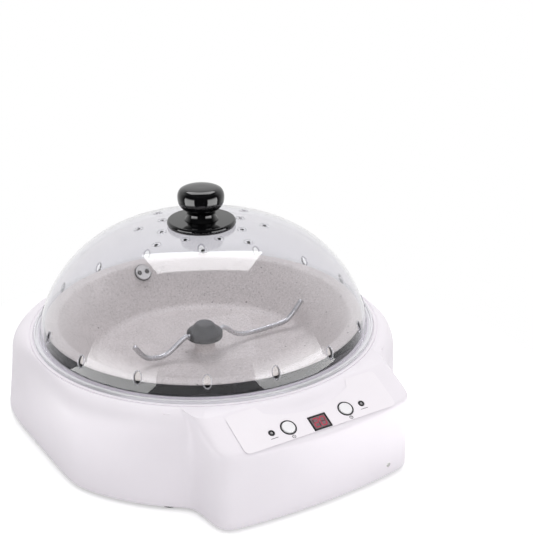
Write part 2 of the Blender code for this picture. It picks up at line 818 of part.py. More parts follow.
def build_knob(kit):
    edge_low = dome_height(DISC_R) + GAP
    edge_high = edge_low + DISC_EDGE_T
    step = DISC_STEP_R
    under = [(r, dome_height(r) + GAP) for r in (DISC_R - step, DISC_R * 0.75, DISC_R * 0.5,
                                                 DISC_R * 0.25, DOME_HOLE_R)]
    disc = [(DOME_HOLE_R, edge_high), (DISC_R - step * 2, edge_high), (DISC_R - step * 0.5, edge_high - step),
            (DISC_R, edge_high - step * 3), (DISC_R, edge_low + step * 2),
            (DISC_R - step, edge_low + step * 2)] + under
    turn(kit.place("knob_disc", profile_mesh("knob_disc", disc, True), black_gloss()), STEPS)

    foot = edge_high + GAP
    bore = KNOB_SCREW_R + GAP
    knob = [(KNOB_R * out, foot + KNOB_H * up) for out, up in zip(KNOB_OUT_SHARES, KNOB_UP_SHARES)]
    knob += [(bore, foot), (bore, foot + KNOB_SCREW_DEPTH), (0, foot + KNOB_SCREW_DEPTH)]
    turn(kit.place("knob", profile_mesh("knob", knob, False), black_gloss()), BUTTON_STEPS)

    under_dome = dome_height(WASHER_R, DOME_WALL) - GAP
    washer = [(DOME_HOLE_R, under_dome), (WASHER_R, under_dome),
              (WASHER_R, under_dome - WASHER_T), (DOME_HOLE_R, under_dome - WASHER_T)]
    turn(kit.place("knob_washer", profile_mesh("knob_washer", washer, True), steel()), SMALL_STEPS)
    head = under_dome - WASHER_T - GAP
    screw_top = foot + KNOB_SCREW_DEPTH - GAP * 3
    screw = [(0, screw_top), (KNOB_SCREW_R, screw_top), (KNOB_SCREW_R, head),
             (SCREW_HEAD_R, head), (SCREW_HEAD_R, head - SCREW_HEAD_H * 0.5),
             (SCREW_HEAD_R * 0.6, head - SCREW_HEAD_H), (0, head - SCREW_HEAD_H)]
    turn(kit.place("knob_screw", profile_mesh("knob_screw", screw, False), steel()), SCREW_STEPS)


# Housing

def panel_foot_z(inset=0.0):
    """The height where the panel's slope meets the front of the control box."""
    drop = BOX_FRONT_Y - inset - ROW_Y
    return ROW_Z - inset / cos(PANEL_TILT) - drop * SLOPE


def housing_rings():
    """Up the outside, over the deck, down the collar, and back down the inside."""
    edge = panel_foot_z()
    outside = [ring(h) for h in (FOOT_PROUD, edge - PANEL_EDGE_BLEND * 3,
                                 edge - PANEL_EDGE_BLEND, edge, edge + PANEL_EDGE_BLEND)]
    outside += [ring(h) for h in heights(edge + PANEL_EDGE_BLEND * 2.5, CREST_Z * 0.988, 5)]
    deck = [round_ring(CREST_R, CREST_Z),
            round_ring(CREST_INNER_R + CREST_RISE * 0.3, CREST_Z - CREST_RISE * 0.15),
            round_ring(CREST_INNER_R, DECK_Z),
            round_ring(RIM_OUTER_R + RIM_RISE * 0.15, DECK_Z),
            round_ring(RIM_OUTER_R, RIM_Z), round_ring(RIM_INNER_R, RIM_Z)]
    collar_low = DECK_Z - COLLAR_DEPTH
    collar = [round_ring(RIM_INNER_R, collar_low),
              round_ring(RIM_INNER_R + COLLAR_WALL, collar_low),
              round_ring(RIM_INNER_R + COLLAR_WALL, DECK_Z - WALL)]
    top_inside = DECK_Z - WALL
    inside = [round_ring(CREST_INNER_R, top_inside)]
    inside += [ring(h, WALL) for h in reversed(heights(panel_foot_z(WALL), top_inside * 0.985, 4))]
    inside += [ring(h, WALL) for h in (panel_foot_z(WALL) - WALL, FOOT_PROUD)]
    return outside + deck + collar + inside


def foot_places():
    places = {}
    for end, angle in (("front", FRONT_FOOT_ANGLE), ("rear", REAR_FOOT_ANGLE)):
        for word, side in (("left", -1), ("right", 1)):
            places[f"{end}_{word}"] = (side * FOOT_AT * cos(angle), FOOT_AT * sin(angle))
    return places


def panel_holes():
    """Where the panel is cut: (across, radius) of the round holes."""
    return ((-BUTTON_X, BEZEL_R + GAP), (BUTTON_X, BEZEL_R + GAP),
            (-LAMP_X, LAMP_RING_R + GAP), (LAMP_X, LAMP_RING_R + GAP))


def front_face_y(across):
    """The control box's front face, in front of the pan's axis."""
    return BOX_FRONT_Y - BOX_BOW * (across / BOX_HALF_X) ** 2


def build_housing(kit):
    housing = kit.place("housing", loft_mesh("housing", housing_rings()), white_plastic())
    posts = []
    for name, (x, y) in foot_places().items():
        mesh = cylinder_mesh(f"post_{name}", BASE_POST_R, BASE_TOP_Z + GAP, BASE_POST_TOP_Z, 12)
        posts.append(kit.cutter(f"post_{name}", mesh, Matrix.Translation((x, y, 0))))
    for side in (-1, 1):
        mesh = cylinder_mesh("board_post", BOARD_POST_R, -BOARD_DEPTH + GAP, -WALL * 0.5)
        posts.append(kit.cutter(f"board_post_{side}", mesh, panel_matrix(side * BOARD_POST_X)))
    for post in posts:
        kit.cut(housing, post, "UNION")
    for name, (x, y) in foot_places().items():
        mesh = cylinder_mesh(f"pilot_{name}", BASE_SCREW_R + GAP, FOOT_PROUD,
                             BASE_SCREW_TOP_Z + GAP, SCREW_STEPS)
        kit.cut(housing, kit.cutter(f"pilot_{name}", mesh, Matrix.Translation((x, y, 0))))
    for i, (across, radius) in enumerate(panel_holes()):
        mesh = cylinder_mesh(f"panel_hole_{i}", radius, -WALL - OVERRUN / 2, OVERRUN)
        kit.cut(housing, kit.cutter(f"panel_hole_{i}", mesh, panel_matrix(across)))
    half_w, half_h = DISPLAY_W / 2 + GAP, DISPLAY_H / 2 + GAP
    window = box_mesh("display_hole", (-half_w, -half_h, -WALL - OVERRUN / 2),
                      (half_w, half_h, OVERRUN))
    kit.cut(housing, kit.cutter("display_hole", window, panel_matrix(0, DISPLAY_DROP)))
    lie = Matrix.Rotation(pi / 2, 4, "X")
    front = front_face_y(FRONT_SCREW_X)
    at = Matrix.Translation((FRONT_SCREW_X, -front, FRONT_SCREW_Z)) @ lie
    recess = cylinder_mesh("front_recess", FRONT_RECESS_R, -FRONT_RECESS_DEPTH, OVERRUN)
    kit.cut(housing, kit.cutter("front_recess", recess, at))
    hole = cylinder_mesh("front_screw_hole", FRONT_SCREW_R + GAP, -WALL - OVERRUN, OVERRUN)
    kit.cut(housing, kit.cutter("front_screw_hole", hole, at))
    rear = Matrix.Translation((0, REAR_Y, GLAND_Z)) @ lie
    hole = cylinder_mesh("gland_hole", GLAND_R + GAP, -OVERRUN * 2, OVERRUN * 2)
    kit.cut(housing, kit.cutter("gland_hole", hole, rear))


# Controls

def label_outline():
    """The film on the panel: straight sides and foot, its top drawn down round the shoulder."""
    corner = LABEL_CORNER_R
    half, low = LABEL_HALF_X, -LABEL_LOW
    points = []
    for cx, cy, start in ((-half + corner, low + corner, 180), (half - corner, low + corner, 270)):
        points += arc_points((cx, cy), corner, start, start + 90, 5)
    high = shoulder_line(half - corner) - LABEL_SHOULDER_MARGIN
    points += arc_points((half - corner, high - corner), corner, 0, 75, 4)
    reach = half - corner
    for i in range(17):
        across = reach * (1 - 2 * i / 16)
        points.append((across, shoulder_line(across) - LABEL_SHOULDER_MARGIN))
    points += arc_points((-half + corner, high - corner), corner, 105, 180, 4)
    return points


def shoulder_line(across):
    """How far up the panel the shoulder starts to rise from it, at a place across it."""
    low, high = 0.0, (CREST_Z - ROW_Z) / sin(PANEL_TILT)
    for _ in range(30):
        up = (low + high) / 2
        y = ROW_Y - up * cos(PANEL_TILT)
        z = ROW_Z + up * sin(PANEL_TILT)
        if housing_radius(atan2(-y, across), z) - hypot(across, y) < GAP:
            low = up
        else:
            high = up
    return low


def build_controls(kit):
    outlines = [label_outline()]
    outlines += [circle_outline(across, 0, radius) for across, radius in panel_holes()]
    outlines.append(rectangle_outline(0, -DISPLAY_DROP, DISPLAY_W / 2 + GAP, DISPLAY_H / 2 + GAP))
    curve = plate_curve("control_panel", outlines, LABEL_T)
    kit.place("control_panel", curve, label_film(), panel_matrix(0, 0, GAP + LABEL_T / 2))
    for side, word in ((-1, "left"), (1, "right")):
        build_button(kit, side, word)
        build_lamp(kit, side, word)
    build_display(kit)
    board = box_mesh("control_board", (-BOARD_HALF_X, -BOARD_HALF_Y, -BOARD_T),
                     (BOARD_HALF_X, BOARD_HALF_Y, 0))
    kit.place("control_board", board, board_green(), panel_matrix(0, 0, -BOARD_DEPTH))


def build_button(kit, side, word):
    across = side * BUTTON_X
    under = -WALL - GAP * 2
    inner = BUTTON_R + GAP
    bezel = [(inner, BEZEL_PROUD), (BEZEL_R - GAP, BEZEL_PROUD), (BEZEL_R, BEZEL_PROUD - GAP),
             (BEZEL_R, under), (BEZEL_FLANGE_R, under), (BEZEL_FLANGE_R, under - BEZEL_FLANGE_T),
             (inner, under - BEZEL_FLANGE_T)]
    piece = kit.place(f"button_ring_{word}", profile_mesh("button_ring", bezel, True),
                      black_gloss(), panel_matrix(across))
    turn(piece, BUTTON_STEPS)
    plunger_top = -BOARD_DEPTH + GAP + SWITCH_BODY_H + SWITCH_PLUNGER_H
    stem_end = plunger_top + BUTTON_TRAVEL + GAP
    cap = [(0, BUTTON_PROUD), (BUTTON_R * 0.8, BUTTON_PROUD - GAP / 2),
           (BUTTON_R * 0.95, BUTTON_PROUD - GAP), (BUTTON_R, BUTTON_PROUD - GAP * 3),
           (BUTTON_R, -BUTTON_DEPTH), (BUTTON_STEM_R, -BUTTON_DEPTH), (BUTTON_STEM_R, stem_end),
           (0, stem_end)]
    piece = kit.place(f"button_{word}", profile_mesh("button", cap, False),
                      white_plastic(), panel_matrix(across))
    turn(piece, BUTTON_STEPS)
    half = SWITCH_SIDE / 2
    body = box_mesh("switch", (-half, -half, 0), (half, half, SWITCH_BODY_H))
    switch = kit.place(f"switch_{word}", body, part_black(),
                       panel_matrix(across, 0, -BOARD_DEPTH + GAP))
    plunger = cylinder_mesh("plunger", SWITCH_PLUNGER_R, SWITCH_BODY_H / 2,
                            SWITCH_BODY_H + SWITCH_PLUNGER_H)
    kit.cut(switch, kit.cutter(f"plunger_{word}", plunger,
                               panel_matrix(across, 0, -BOARD_DEPTH + GAP)), "UNION")


def build_lamp(kit, side, word):
    across = side * LAMP_X
    inner = LAMP_R + GAP
    edge = [(inner, LAMP_PROUD), (LAMP_RING_R - GAP, LAMP_PROUD), (LAMP_RING_R, LAMP_PROUD - GAP),
            (LAMP_RING_R, -WALL), (inner, -WALL)]
    turn(kit.place(f"lamp_ring_{word}", profile_mesh("lamp_ring", edge, True),
                   black_gloss(), panel_matrix(across)), SMALL_STEPS)
    lens = [(0, LAMP_PROUD)] + arc_points((0, LAMP_PROUD - LAMP_R), LAMP_R, 70, 0, 4)
    lens += [(LAMP_R, -LAMP_DEPTH), (0, -LAMP_DEPTH)]
    turn(kit.place(f"lamp_{word}", profile_mesh("lamp", lens, False), lamp_lens(),
                   panel_matrix(across)), SMALL_STEPS)


def build_display(kit):
    half_w, half_h = DISPLAY_W / 2, DISPLAY_H / 2
    inner_w, inner_h = half_w - DISPLAY_FRAME_T, half_h - DISPLAY_FRAME_T
    depth = WALL + DISPLAY_PROUD
    frame = plate_curve("display_frame", [rectangle_outline(0, 0, half_w, half_h),
                                          rectangle_outline(0, 0, inner_w, inner_h)], depth)
    kit.place("display_frame", frame, black_gloss(),
              panel_matrix(0, DISPLAY_DROP, DISPLAY_PROUD - depth / 2))
    pane_w, pane_h = inner_w - GAP, inner_h - GAP
    pane = box_mesh("display_window", (-pane_w, -pane_h, -WALL),
                    (pane_w, pane_h, DISPLAY_PROUD - GAP))
    kit.place("display_window", pane, display_red(), panel_matrix(0, DISPLAY_DROP))
    module = box_mesh("display_module", (-MODULE_W / 2, -MODULE_H / 2, -BOARD_DEPTH + GAP),
                      (MODULE_W / 2, MODULE_H / 2, -WALL - GAP * 3))
    kit.place("display_module", module, part_black(), panel_matrix(0, DISPLAY_DROP))


# Pan

def pan_wall_direction():
    """Along the pan's inner wall, from its foot to its top, in the profile plane."""
    rise = (PAN_LIP_Z - PAN_T) - (PAN_FLOOR_Z + PAN_WALL_FOOT_RISE)
    run = PAN_WALL_TOP_R - PAN_WALL_FOOT_R
    length = hypot(run, rise)
    return run / length, rise / length


def pan_profile():
    floor = PAN_FLOOR_Z
    under = floor - PAN_T
    lip_low = PAN_LIP_Z - PAN_T
    along = pan_wall_direction()
    shift = (along[1] * PAN_T, -along[0] * PAN_T)
    top_in = (PAN_WALL_TOP_R, lip_low)
    foot_in = (PAN_WALL_FOOT_R, floor + PAN_WALL_FOOT_RISE)
    outside = [(PAN_LIP_R, PAN_LIP_Z - PAN_T * 0.4), (PAN_LIP_R, lip_low),
               (top_in[0] + PAN_T * 1.4, lip_low),
               (foot_in[0] + shift[0], foot_in[1] + shift[1]),
               (PAN_FLOOR_R + PAN_T, under + PAN_T * 0.15), (PAN_FLOOR_R - PAN_T, under),
               (PAN_BORE_R, under)]
    inside = [(PAN_BORE_R, PAN_COLLAR_Z), (PAN_COLLAR_R, PAN_COLLAR_Z),
              (PAN_COLLAR_R, floor + PAN_T), (PAN_COLLAR_R + PAN_T, floor),
              (PAN_FLOOR_R - PAN_T, floor), (PAN_FLOOR_R + PAN_T, floor + PAN_T * 0.25),
              foot_in, top_in, (PAN_LIP_R - PAN_LIP_W + PAN_T, PAN_LIP_Z - PAN_T * 0.1),
              (PAN_LIP_R - PAN_T, PAN_LIP_Z)]
    return outside + inside


def build_pan(kit):
    turn(kit.place("pan", profile_mesh("pan", pan_profile(), True), speckled_coating()),
         FINE_STEPS)
    foot = RIM_Z + GAP
    head = PAN_LIP_Z - PAN_T - GAP
    locating = RIM_INNER_R - GAP * 3
    ring_profile = [(RING_HEAD_R, head), (RING_FOOT_R, foot),
                    (locating, foot), (locating, foot - RING_SEAT_W),
                    (locating - RING_WALL, foot - RING_SEAT_W),
                    (locating - RING_WALL, foot + RING_WALL * 0.5),
                    (RING_HEAD_R - RING_WALL, head - RING_WALL * 0.5),
                    (RING_HEAD_R - RING_WALL, head)]
    turn(kit.place("pan_ring", profile_mesh("pan_ring", ring_profile, True), black_gloss()),
         FINE_STEPS)
    build_sensor(kit)


def build_sensor(kit):
    """A round sensor cap with two screws, on the rear of the pan's inner wall."""
    along = pan_wall_direction()
    rise = (SENSOR_AT - PAN_WALL_FOOT_R) / along[0] * along[1]
    lean = atan2(along[1], along[0])
    at = Matrix.Translation((0, SENSOR_AT, PAN_FLOOR_Z + PAN_WALL_FOOT_RISE + rise))
    at = at @ Matrix.Rotation(lean, 4, "X") @ Matrix.Translation((0, 0, SENSOR_LIFT))
    profile = [(0, SENSOR_T), (SENSOR_R - GAP * 2, SENSOR_T), (SENSOR_R, SENSOR_T - GAP * 2),
               (SENSOR_R, 0), (0, 0)]
    turn(kit.place("sensor_cap", profile_mesh("sensor_cap", profile, False), steel(), at), BUTTON_STEPS)
    for side, word in ((-1, "left"), (1, "right")):
        mesh = cylinder_mesh("sensor_screw", SENSOR_SCREW_R, 0, SENSOR_SCREW_H, 12)
        kit.place(f"sensor_screw_{word}", mesh, dark_steel(),
                  at @ Matrix.Translation((side * SENSOR_SCREW_X, 0, SENSOR_T + GAP)))


# Drive and stirrer

def flatted_outline(radius, flat, count=24):
    """A circle with one flat, seen from above."""
    start = acos_share(flat / radius)
    return [(radius * cos(start + (2 * pi - 2 * start) * i / count),
             radius * sin(start + (2 * pi - 2 * start) * i / count)) for i in range(count + 1)]


def acos_share(share):
    return atan2(sqrt(1 - share ** 2), share)


def build_drive(kit):
    low = MOTOR_TOP_Z + MOTOR_BOSS_H - MOTOR_BORE_DEPTH + GAP
    shaft = kit.place("drive_shaft", cylinder_mesh("drive_shaft", SHAFT_R, low, SHAFT_TOP_Z, 24),
                      steel())
    flat = box_mesh("shaft_flat", (SHAFT_FLAT, -SHAFT_R * 2, PAN_COLLAR_Z + GAP + BUSH_FLANGE_T),
                    (SHAFT_R * 2, SHAFT_R * 2, SHAFT_TOP_Z + OVERRUN))
    kit.cut(shaft, kit.cutter("shaft_flat", flat))
    collar = PAN_COLLAR_Z
    inner = SHAFT_R + GAP
    bush = [(inner, collar + GAP + BUSH_FLANGE_T), (BUSH_FLANGE_R, collar + GAP + BUSH_FLANGE_T),
            (BUSH_FLANGE_R, collar + GAP), (BUSH_R, collar + GAP), (BUSH_R, PAN_FLOOR_Z - PAN_T),
            (inner, PAN_FLOOR_Z - PAN_T)]
    turn(kit.place("shaft_bush", profile_mesh("shaft_bush", bush, True), bronze()), SMALL_STEPS)
    build_stirrer(kit)


def build_stirrer(kit):
    bore_top = SHAFT_TOP_Z + GAP
    edge = HUB_FOOT_Z + HUB_EDGE_H
    hub = [(0, HUB_TOP_Z), (HUB_TOP_R * 0.5, HUB_TOP_Z - GAP),
           (HUB_TOP_R * 0.85, HUB_TOP_Z - GAP * 4), (HUB_TOP_R, HUB_TOP_Z - GAP * 9),
           (HUB_TOP_R * 1.15, HUB_TOP_Z - HUB_CROWN_EDGE), (HUB_FOOT_R * 0.92, edge),
           (HUB_FOOT_R, edge - GAP * 4), (HUB_FOOT_R, HUB_FOOT_Z + GAP * 2),
           (HUB_FOOT_R - GAP * 2, HUB_FOOT_Z), (0, HUB_FOOT_Z)]
    body = turn(kit.place("stirrer_hub", profile_mesh("stirrer_hub", hub, False), black_matt()),
                BUTTON_STEPS)
    outline = flatted_outline(SHAFT_R + GAP, SHAFT_FLAT + GAP)
    depth = bore_top - HUB_FOOT_Z + OVERRUN
    bore = kit.cutter("hub_bore", plate_curve("hub_bore", [outline], depth),
                      Matrix.Translation((0, 0, bore_top - depth / 2)))
    bore = as_mesh(bore)
    bore.hide_render = True
    bore.display_type = "WIRE"
    kit.cut(body, bore)
    lie = Matrix.Rotation(pi / 2, 4, "Y")
    hole = cylinder_mesh("arm_holes", ARM_R + GAP, -HUB_FOOT_R * 1.5, HUB_FOOT_R * 1.5, 16)
    kit.cut(body, kit.cutter("arm_holes", hole, Matrix.Translation((0, 0, ARM_START_Z)) @ lie))
    long_reach = PAN_FLOOR_R - LONG_ARM_SHORT_OF
    long_tip = (PAN_FLOOR_R + LONG_TIP_OUT, ARM_Z + LONG_TIP_RISE)
    short_reach = PAN_FLOOR_R - SHORT_ARM_SHORT_OF
    short_tip = (short_reach + SHORT_TIP_RUN, ARM_Z + SHORT_TIP_RISE)
    for word, side, reach, tip in (("long", 1, long_reach, long_tip),
                                   ("short", -1, short_reach, short_tip)):
        start = SHAFT_R + ARM_SOCKET
        bend = (reach + tip[0]) / 2
        points = [(start, 0, ARM_START_Z), (HUB_FOOT_R + GAP, 0, ARM_START_Z),
                  (HUB_FOOT_R * 1.3, 0, ARM_START_Z), (HUB_FOOT_R * 2.4, 0, ARM_Z), (reach, 0, ARM_Z),
                  (bend, 0, ARM_Z + (tip[1] - ARM_Z) * 0.28), (tip[0], 0, tip[1])]
        points = [(x * side, y, z) for x, y, z in smoothed_path(points)]
        kit.place(f"stirrer_arm_{word}", tube_curve("stirrer_arm", points, ARM_R), steel())


# Heater and motor

def heater_points():
    z = PAN_FLOOR_Z - PAN_T - GAP - HEATER_R
    start = pi / 2 + pi * HEATER_GAP_SHARE
    sweep = 2 * pi - 2 * pi * HEATER_GAP_SHARE
    ring_part = [(HEATER_RING_R * cos(start + sweep * i / 26),
                  HEATER_RING_R * sin(start + sweep * i / 26), z) for i in range(27)]
    bend = HEATER_R * 1.5

    def leg(end, along):
        x, y, _ = end
        return [(x + along[0] * bend * 0.7, y + along[1] * bend * 0.7, z - bend * 0.3),
                (x + along[0] * bend, y + along[1] * bend, z - bend),
                (x + along[0] * bend, y + along[1] * bend, SHIELD_Z - HEATER_LEG_DROP)]
    first = leg(ring_part[0], (sin(start), -cos(start)))
    stop = start + sweep
    last = leg(ring_part[-1], (-sin(stop), cos(stop)))
    return list(reversed(first)) + ring_part + last


def build_heater(kit):
    points = heater_points()
    kit.place("heating_element", tube_curve("heating_element", points, HEATER_R), dark_steel())
    floor, top = SHIELD_Z, SHIELD_TOP_Z
    t = SHIELD_T
    profile = [(SHIELD_WALL_R + SHIELD_LIP_W, top), (SHIELD_WALL_R + SHIELD_LIP_W, top - t),
               (SHIELD_WALL_R + t, top - t), (SHIELD_FLOOR_R + t, floor),
               (SHIELD_BORE_R, floor), (SHIELD_BORE_R, floor + t), (SHIELD_FLOOR_R, floor + t),
               (SHIELD_WALL_R, top)]
    shield = turn(kit.place("heat_shield", profile_mesh("heat_shield", profile, True), steel()),
                  STEPS)
    for i, (x, y, _) in enumerate((points[0], points[-1])):
        mesh = cylinder_mesh("leg_hole", HEATER_R + GAP * 3, floor - OVERRUN, floor + OVERRUN, 16)
        kit.cut(shield, kit.cutter(f"leg_hole_{i}", mesh, Matrix.Translation((x, y, 0))))
    for i, angle in enumerate(POST_ANGLES):
        out = SHIELD_FLOOR_R - POST_SET_IN
        x, y = out * cos(radians(angle)), out * sin(radians(angle))
        mesh = cylinder_mesh("shield_post", POST_R, BASE_TOP_Z + GAP, floor - GAP, 16)
        kit.place(f"shield_post_{i + 1}", mesh, steel(), Matrix.Translation((x, y, 0)))
    x, y = 0, THERMOSTAT_SET_IN - SHIELD_FLOOR_R
    low = floor - GAP - THERMOSTAT_T
    body = [(0, low + THERMOSTAT_T), (THERMOSTAT_R * 0.8, low + THERMOSTAT_T),
            (THERMOSTAT_R, low + THERMOSTAT_T * 0.6), (THERMOSTAT_R, low), (0, low)]
    turn(kit.place("thermostat", profile_mesh("thermostat", body, False), part_black(),
                   Matrix.Translation((x, y, 0))), SMALL_STEPS)
    x, y = 0, FUSE_SET_IN - SHIELD_FLOOR_R
    lie = Matrix.Translation((x, y, floor - GAP - FUSE_R)) @ Matrix.Rotation(pi / 2, 4, "Y")
    mesh = cylinder_mesh("thermal_fuse", FUSE_R, -FUSE_L / 2, FUSE_L / 2, 12)
    kit.place("thermal_fuse", mesh, white_plastic(), lie)


def build_motor(kit):
    low = BASE_TOP_Z + GAP
    top = MOTOR_TOP_Z
    boss = top + MOTOR_BOSS_H
    bore = SHAFT_R + GAP
    profile = [(0, boss), (MOTOR_BOSS_R, boss), (MOTOR_BOSS_R, top), (MOTOR_R - GAP * 3, top),
               (MOTOR_R, top - GAP * 3), (MOTOR_R, low), (0, low)]
    motor = turn(kit.place("gear_motor", profile_mesh("gear_motor", profile, False), steel()),
                 STEPS)
    ears = box_mesh("motor_ears", (-EAR_HALF_X, -EAR_HALF_Y, top - EAR_T),
                    (EAR_HALF_X, EAR_HALF_Y, top - GAP))
    kit.cut(motor, kit.cutter("motor_ears", ears), "UNION")
    hole = cylinder_mesh("motor_bore", bore, boss - MOTOR_BORE_DEPTH, boss + OVERRUN, 24)
    kit.cut(motor, kit.cutter("motor_bore", hole))

    plate_low = top + GAP
    plate_high = plate_low + BRACKET_T
    foot_low = BASE_TOP_Z + GAP
    half, t, out = BRACKET_HALF_X, BRACKET_T, BRACKET_FOOT
    right = [(half - t, plate_low), (half - t, foot_low), (half + out, foot_low),
             (half + out, foot_low + t), (half, foot_low + t), (half, plate_high)]
    outline = right + [(-x, z) for x, z in reversed(right)]
    stand = Matrix.Rotation(pi / 2, 4, "X")
    bracket = kit.place("motor_bracket", plate_curve("motor_bracket", [outline],
                                                     BRACKET_HALF_Y * 2), None, stand)
    bracket = as_mesh(bracket)
    bracket.data.materials.append(steel())
    hole = cylinder_mesh("boss_hole", MOTOR_BOSS_R + GAP, plate_low - OVERRUN / 4,
                         plate_high + OVERRUN / 4, 24)
    kit.cut(bracket, kit.cutter("boss_hole", hole))
    for side, word in ((-1, "left"), (1, "right")):
        at = Matrix.Translation((side * EAR_SCREW_X, 0, 0))
        hole = cylinder_mesh("motor_screw_hole", MOTOR_SCREW_R + GAP, top - EAR_T - OVERRUN / 4,
                             plate_high + OVERRUN / 4, 16)
        cutter = kit.cutter(f"motor_screw_hole_{word}", hole, at)
        kit.cut(bracket, cutter)
        kit.cut(motor, cutter)
        seat = plate_high + GAP
        tip = top - EAR_T - MOTOR_SCREW_UNDER
        screw = [(0, seat + MOTOR_SCREW_HEAD_H), (MOTOR_SCREW_HEAD_R, seat + MOTOR_SCREW_HEAD_H),
                 (MOTOR_SCREW_HEAD_R, seat), (MOTOR_SCREW_R, seat),
                 (MOTOR_SCREW_R, tip), (0, tip)]
        turn(kit.place(f"motor_screw_{word}", profile_mesh("motor_screw", screw, False),
                       dark_steel(), at), SCREW_STEPS)


# Base

def base_outline():
    inset = WALL + GAP
    points = []
    for angle in ring_angles(BASE_TOP_Z, inset):
        radius = housing_radius(angle, BASE_TOP_Z, inset)
        points.append((radius * cos(angle), radius * sin(angle)))
    return points


def build_base(kit):
    outlines = [base_outline()]
    for x, y in foot_places().values():
        outlines.append(circle_outline(x, y, BASE_SCREW_R + GAP, 12))
    for middle in (-SLOT_Y, SLOT_Y):
        for i in range(-SLOTS_A_SIDE, SLOTS_A_SIDE + 1):
            outlines.append(slot_outline(i * SLOT_PITCH, middle, SLOT_W, SLOT_L, 3))
    plate = kit.place("base_plate", plate_curve("base_plate", outlines, BASE_T), None,
                      Matrix.Translation((0, 0, BASE_PLATE_Z + BASE_T / 2)))
    plate = as_mesh(plate)
    plate.data.materials.append(white_plastic())
    sink = BASE_T / 2
    board_low = BASE_TOP_Z + POWER_BOARD_RISE
    for x in (-1, 1):
        for y in (-1, 1):
            mesh = cylinder_mesh("power_post", POWER_POST_R, BASE_TOP_Z - sink, board_low - GAP, 12)
            at = Matrix.Translation((x * (POWER_BOARD_HALF_X - POWER_POST_IN),
                                     POWER_BOARD_Y + y * (POWER_BOARD_HALF_Y - POWER_POST_IN), 0))
            kit.cut(plate, kit.cutter(f"power_post_{x}_{y}", mesh, at), "UNION")
    front = front_face_y(FRONT_SCREW_X) - WALL
    tab = box_mesh("front_tab", (FRONT_SCREW_X - TAB_HALF_X, -front + WALL, BASE_TOP_Z - sink),
                   (FRONT_SCREW_X + TAB_HALF_X, -front + WALL + TAB_T, FRONT_SCREW_Z + TAB_OVER))
    kit.cut(plate, kit.cutter("front_tab", tab), "UNION")
    lie = Matrix.Translation((FRONT_SCREW_X, -front, FRONT_SCREW_Z)) @ Matrix.Rotation(pi / 2, 4, "X")
    hole = cylinder_mesh("tab_hole", FRONT_SCREW_R + GAP, -WALL - TAB_T - OVERRUN / 2, OVERRUN, 16)
    kit.cut(plate, kit.cutter("tab_hole", hole, lie))
    build_feet(kit)
    build_power_board(kit)
    build_front_screw(kit)
    build_gland(kit)


def build_feet(kit):
    hole = BASE_SCREW_R + GAP
    top = BASE_PLATE_Z - GAP
    foot = [(hole, top), (FOOT_R, top), (FOOT_R, top * 0.25), (FOOT_R * 0.94, 0),
            (FOOT_POCKET_R, 0), (FOOT_POCKET_R, FOOT_POCKET_DEPTH), (hole, FOOT_POCKET_DEPTH)]
    seat = FOOT_POCKET_DEPTH - GAP
    screw = [(0, BASE_SCREW_TOP_Z), (BASE_SCREW_R * 0.5, BASE_SCREW_TOP_Z),
             (BASE_SCREW_R, BASE_SCREW_TOP_Z - BASE_SCREW_R), (BASE_SCREW_R, seat),
             (BASE_SCREW_HEAD_R, seat), (BASE_SCREW_HEAD_R, seat - BASE_SCREW_HEAD_H),
             (0, seat - BASE_SCREW_HEAD_H)]
    for word, (x, y) in foot_places().items():
        at = Matrix.Translation((x, y, 0))
        turn(kit.place(f"foot_{word}", profile_mesh("foot", foot, True), rubber(), at), SMALL_STEPS)
        turn(kit.place(f"base_screw_{word}", profile_mesh("base_screw", screw, False),
                       dark_steel(), at), SCREW_STEPS)


def build_power_board(kit):
    low = BASE_TOP_Z + POWER_BOARD_RISE
    board = box_mesh("power_board", (-POWER_BOARD_HALF_X, POWER_BOARD_Y - POWER_BOARD_HALF_Y, low),
                     (POWER_BOARD_HALF_X, POWER_BOARD_Y + POWER_BOARD_HALF_Y, low + BOARD_T))
    kit.place("power_board", board, board_green())
    x, y, z = RELAY_LENGTH, RELAY_WIDTH, RELAY_H
    seat = low + BOARD_T + GAP
    relay = box_mesh("relay", (RELAY_AT_X - x / 2, POWER_BOARD_Y - y / 2, seat),
                     (RELAY_AT_X + x / 2, POWER_BOARD_Y + y / 2, seat + z))
    bevelled(kit.place("relay", relay, part_black()), GAP * 2, 1)


def build_front_screw(kit):
    """The small screw low on the front face, in its round recess."""
    floor = front_face_y(FRONT_SCREW_X) - FRONT_RECESS_DEPTH
    at = Matrix.Translation((FRONT_SCREW_X, -floor, FRONT_SCREW_Z)) @ Matrix.Rotation(pi / 2, 4, "X")
    seat = GAP
    tip = -(WALL - FRONT_RECESS_DEPTH) - WALL - TAB_T
    screw = [(0, seat + FRONT_SCREW_HEAD_H), (FRONT_SCREW_HEAD_R * 0.8, seat + FRONT_SCREW_HEAD_H),
             (FRONT_SCREW_HEAD_R, seat + FRONT_SCREW_HEAD_H * 0.5), (FRONT_SCREW_HEAD_R, seat),
             (FRONT_SCREW_R, seat), (FRONT_SCREW_R, tip), (0, tip)]
    turn(kit.place("front_screw", profile_mesh("front_screw", screw, False), dark_steel(), at), SCREW_STEPS)


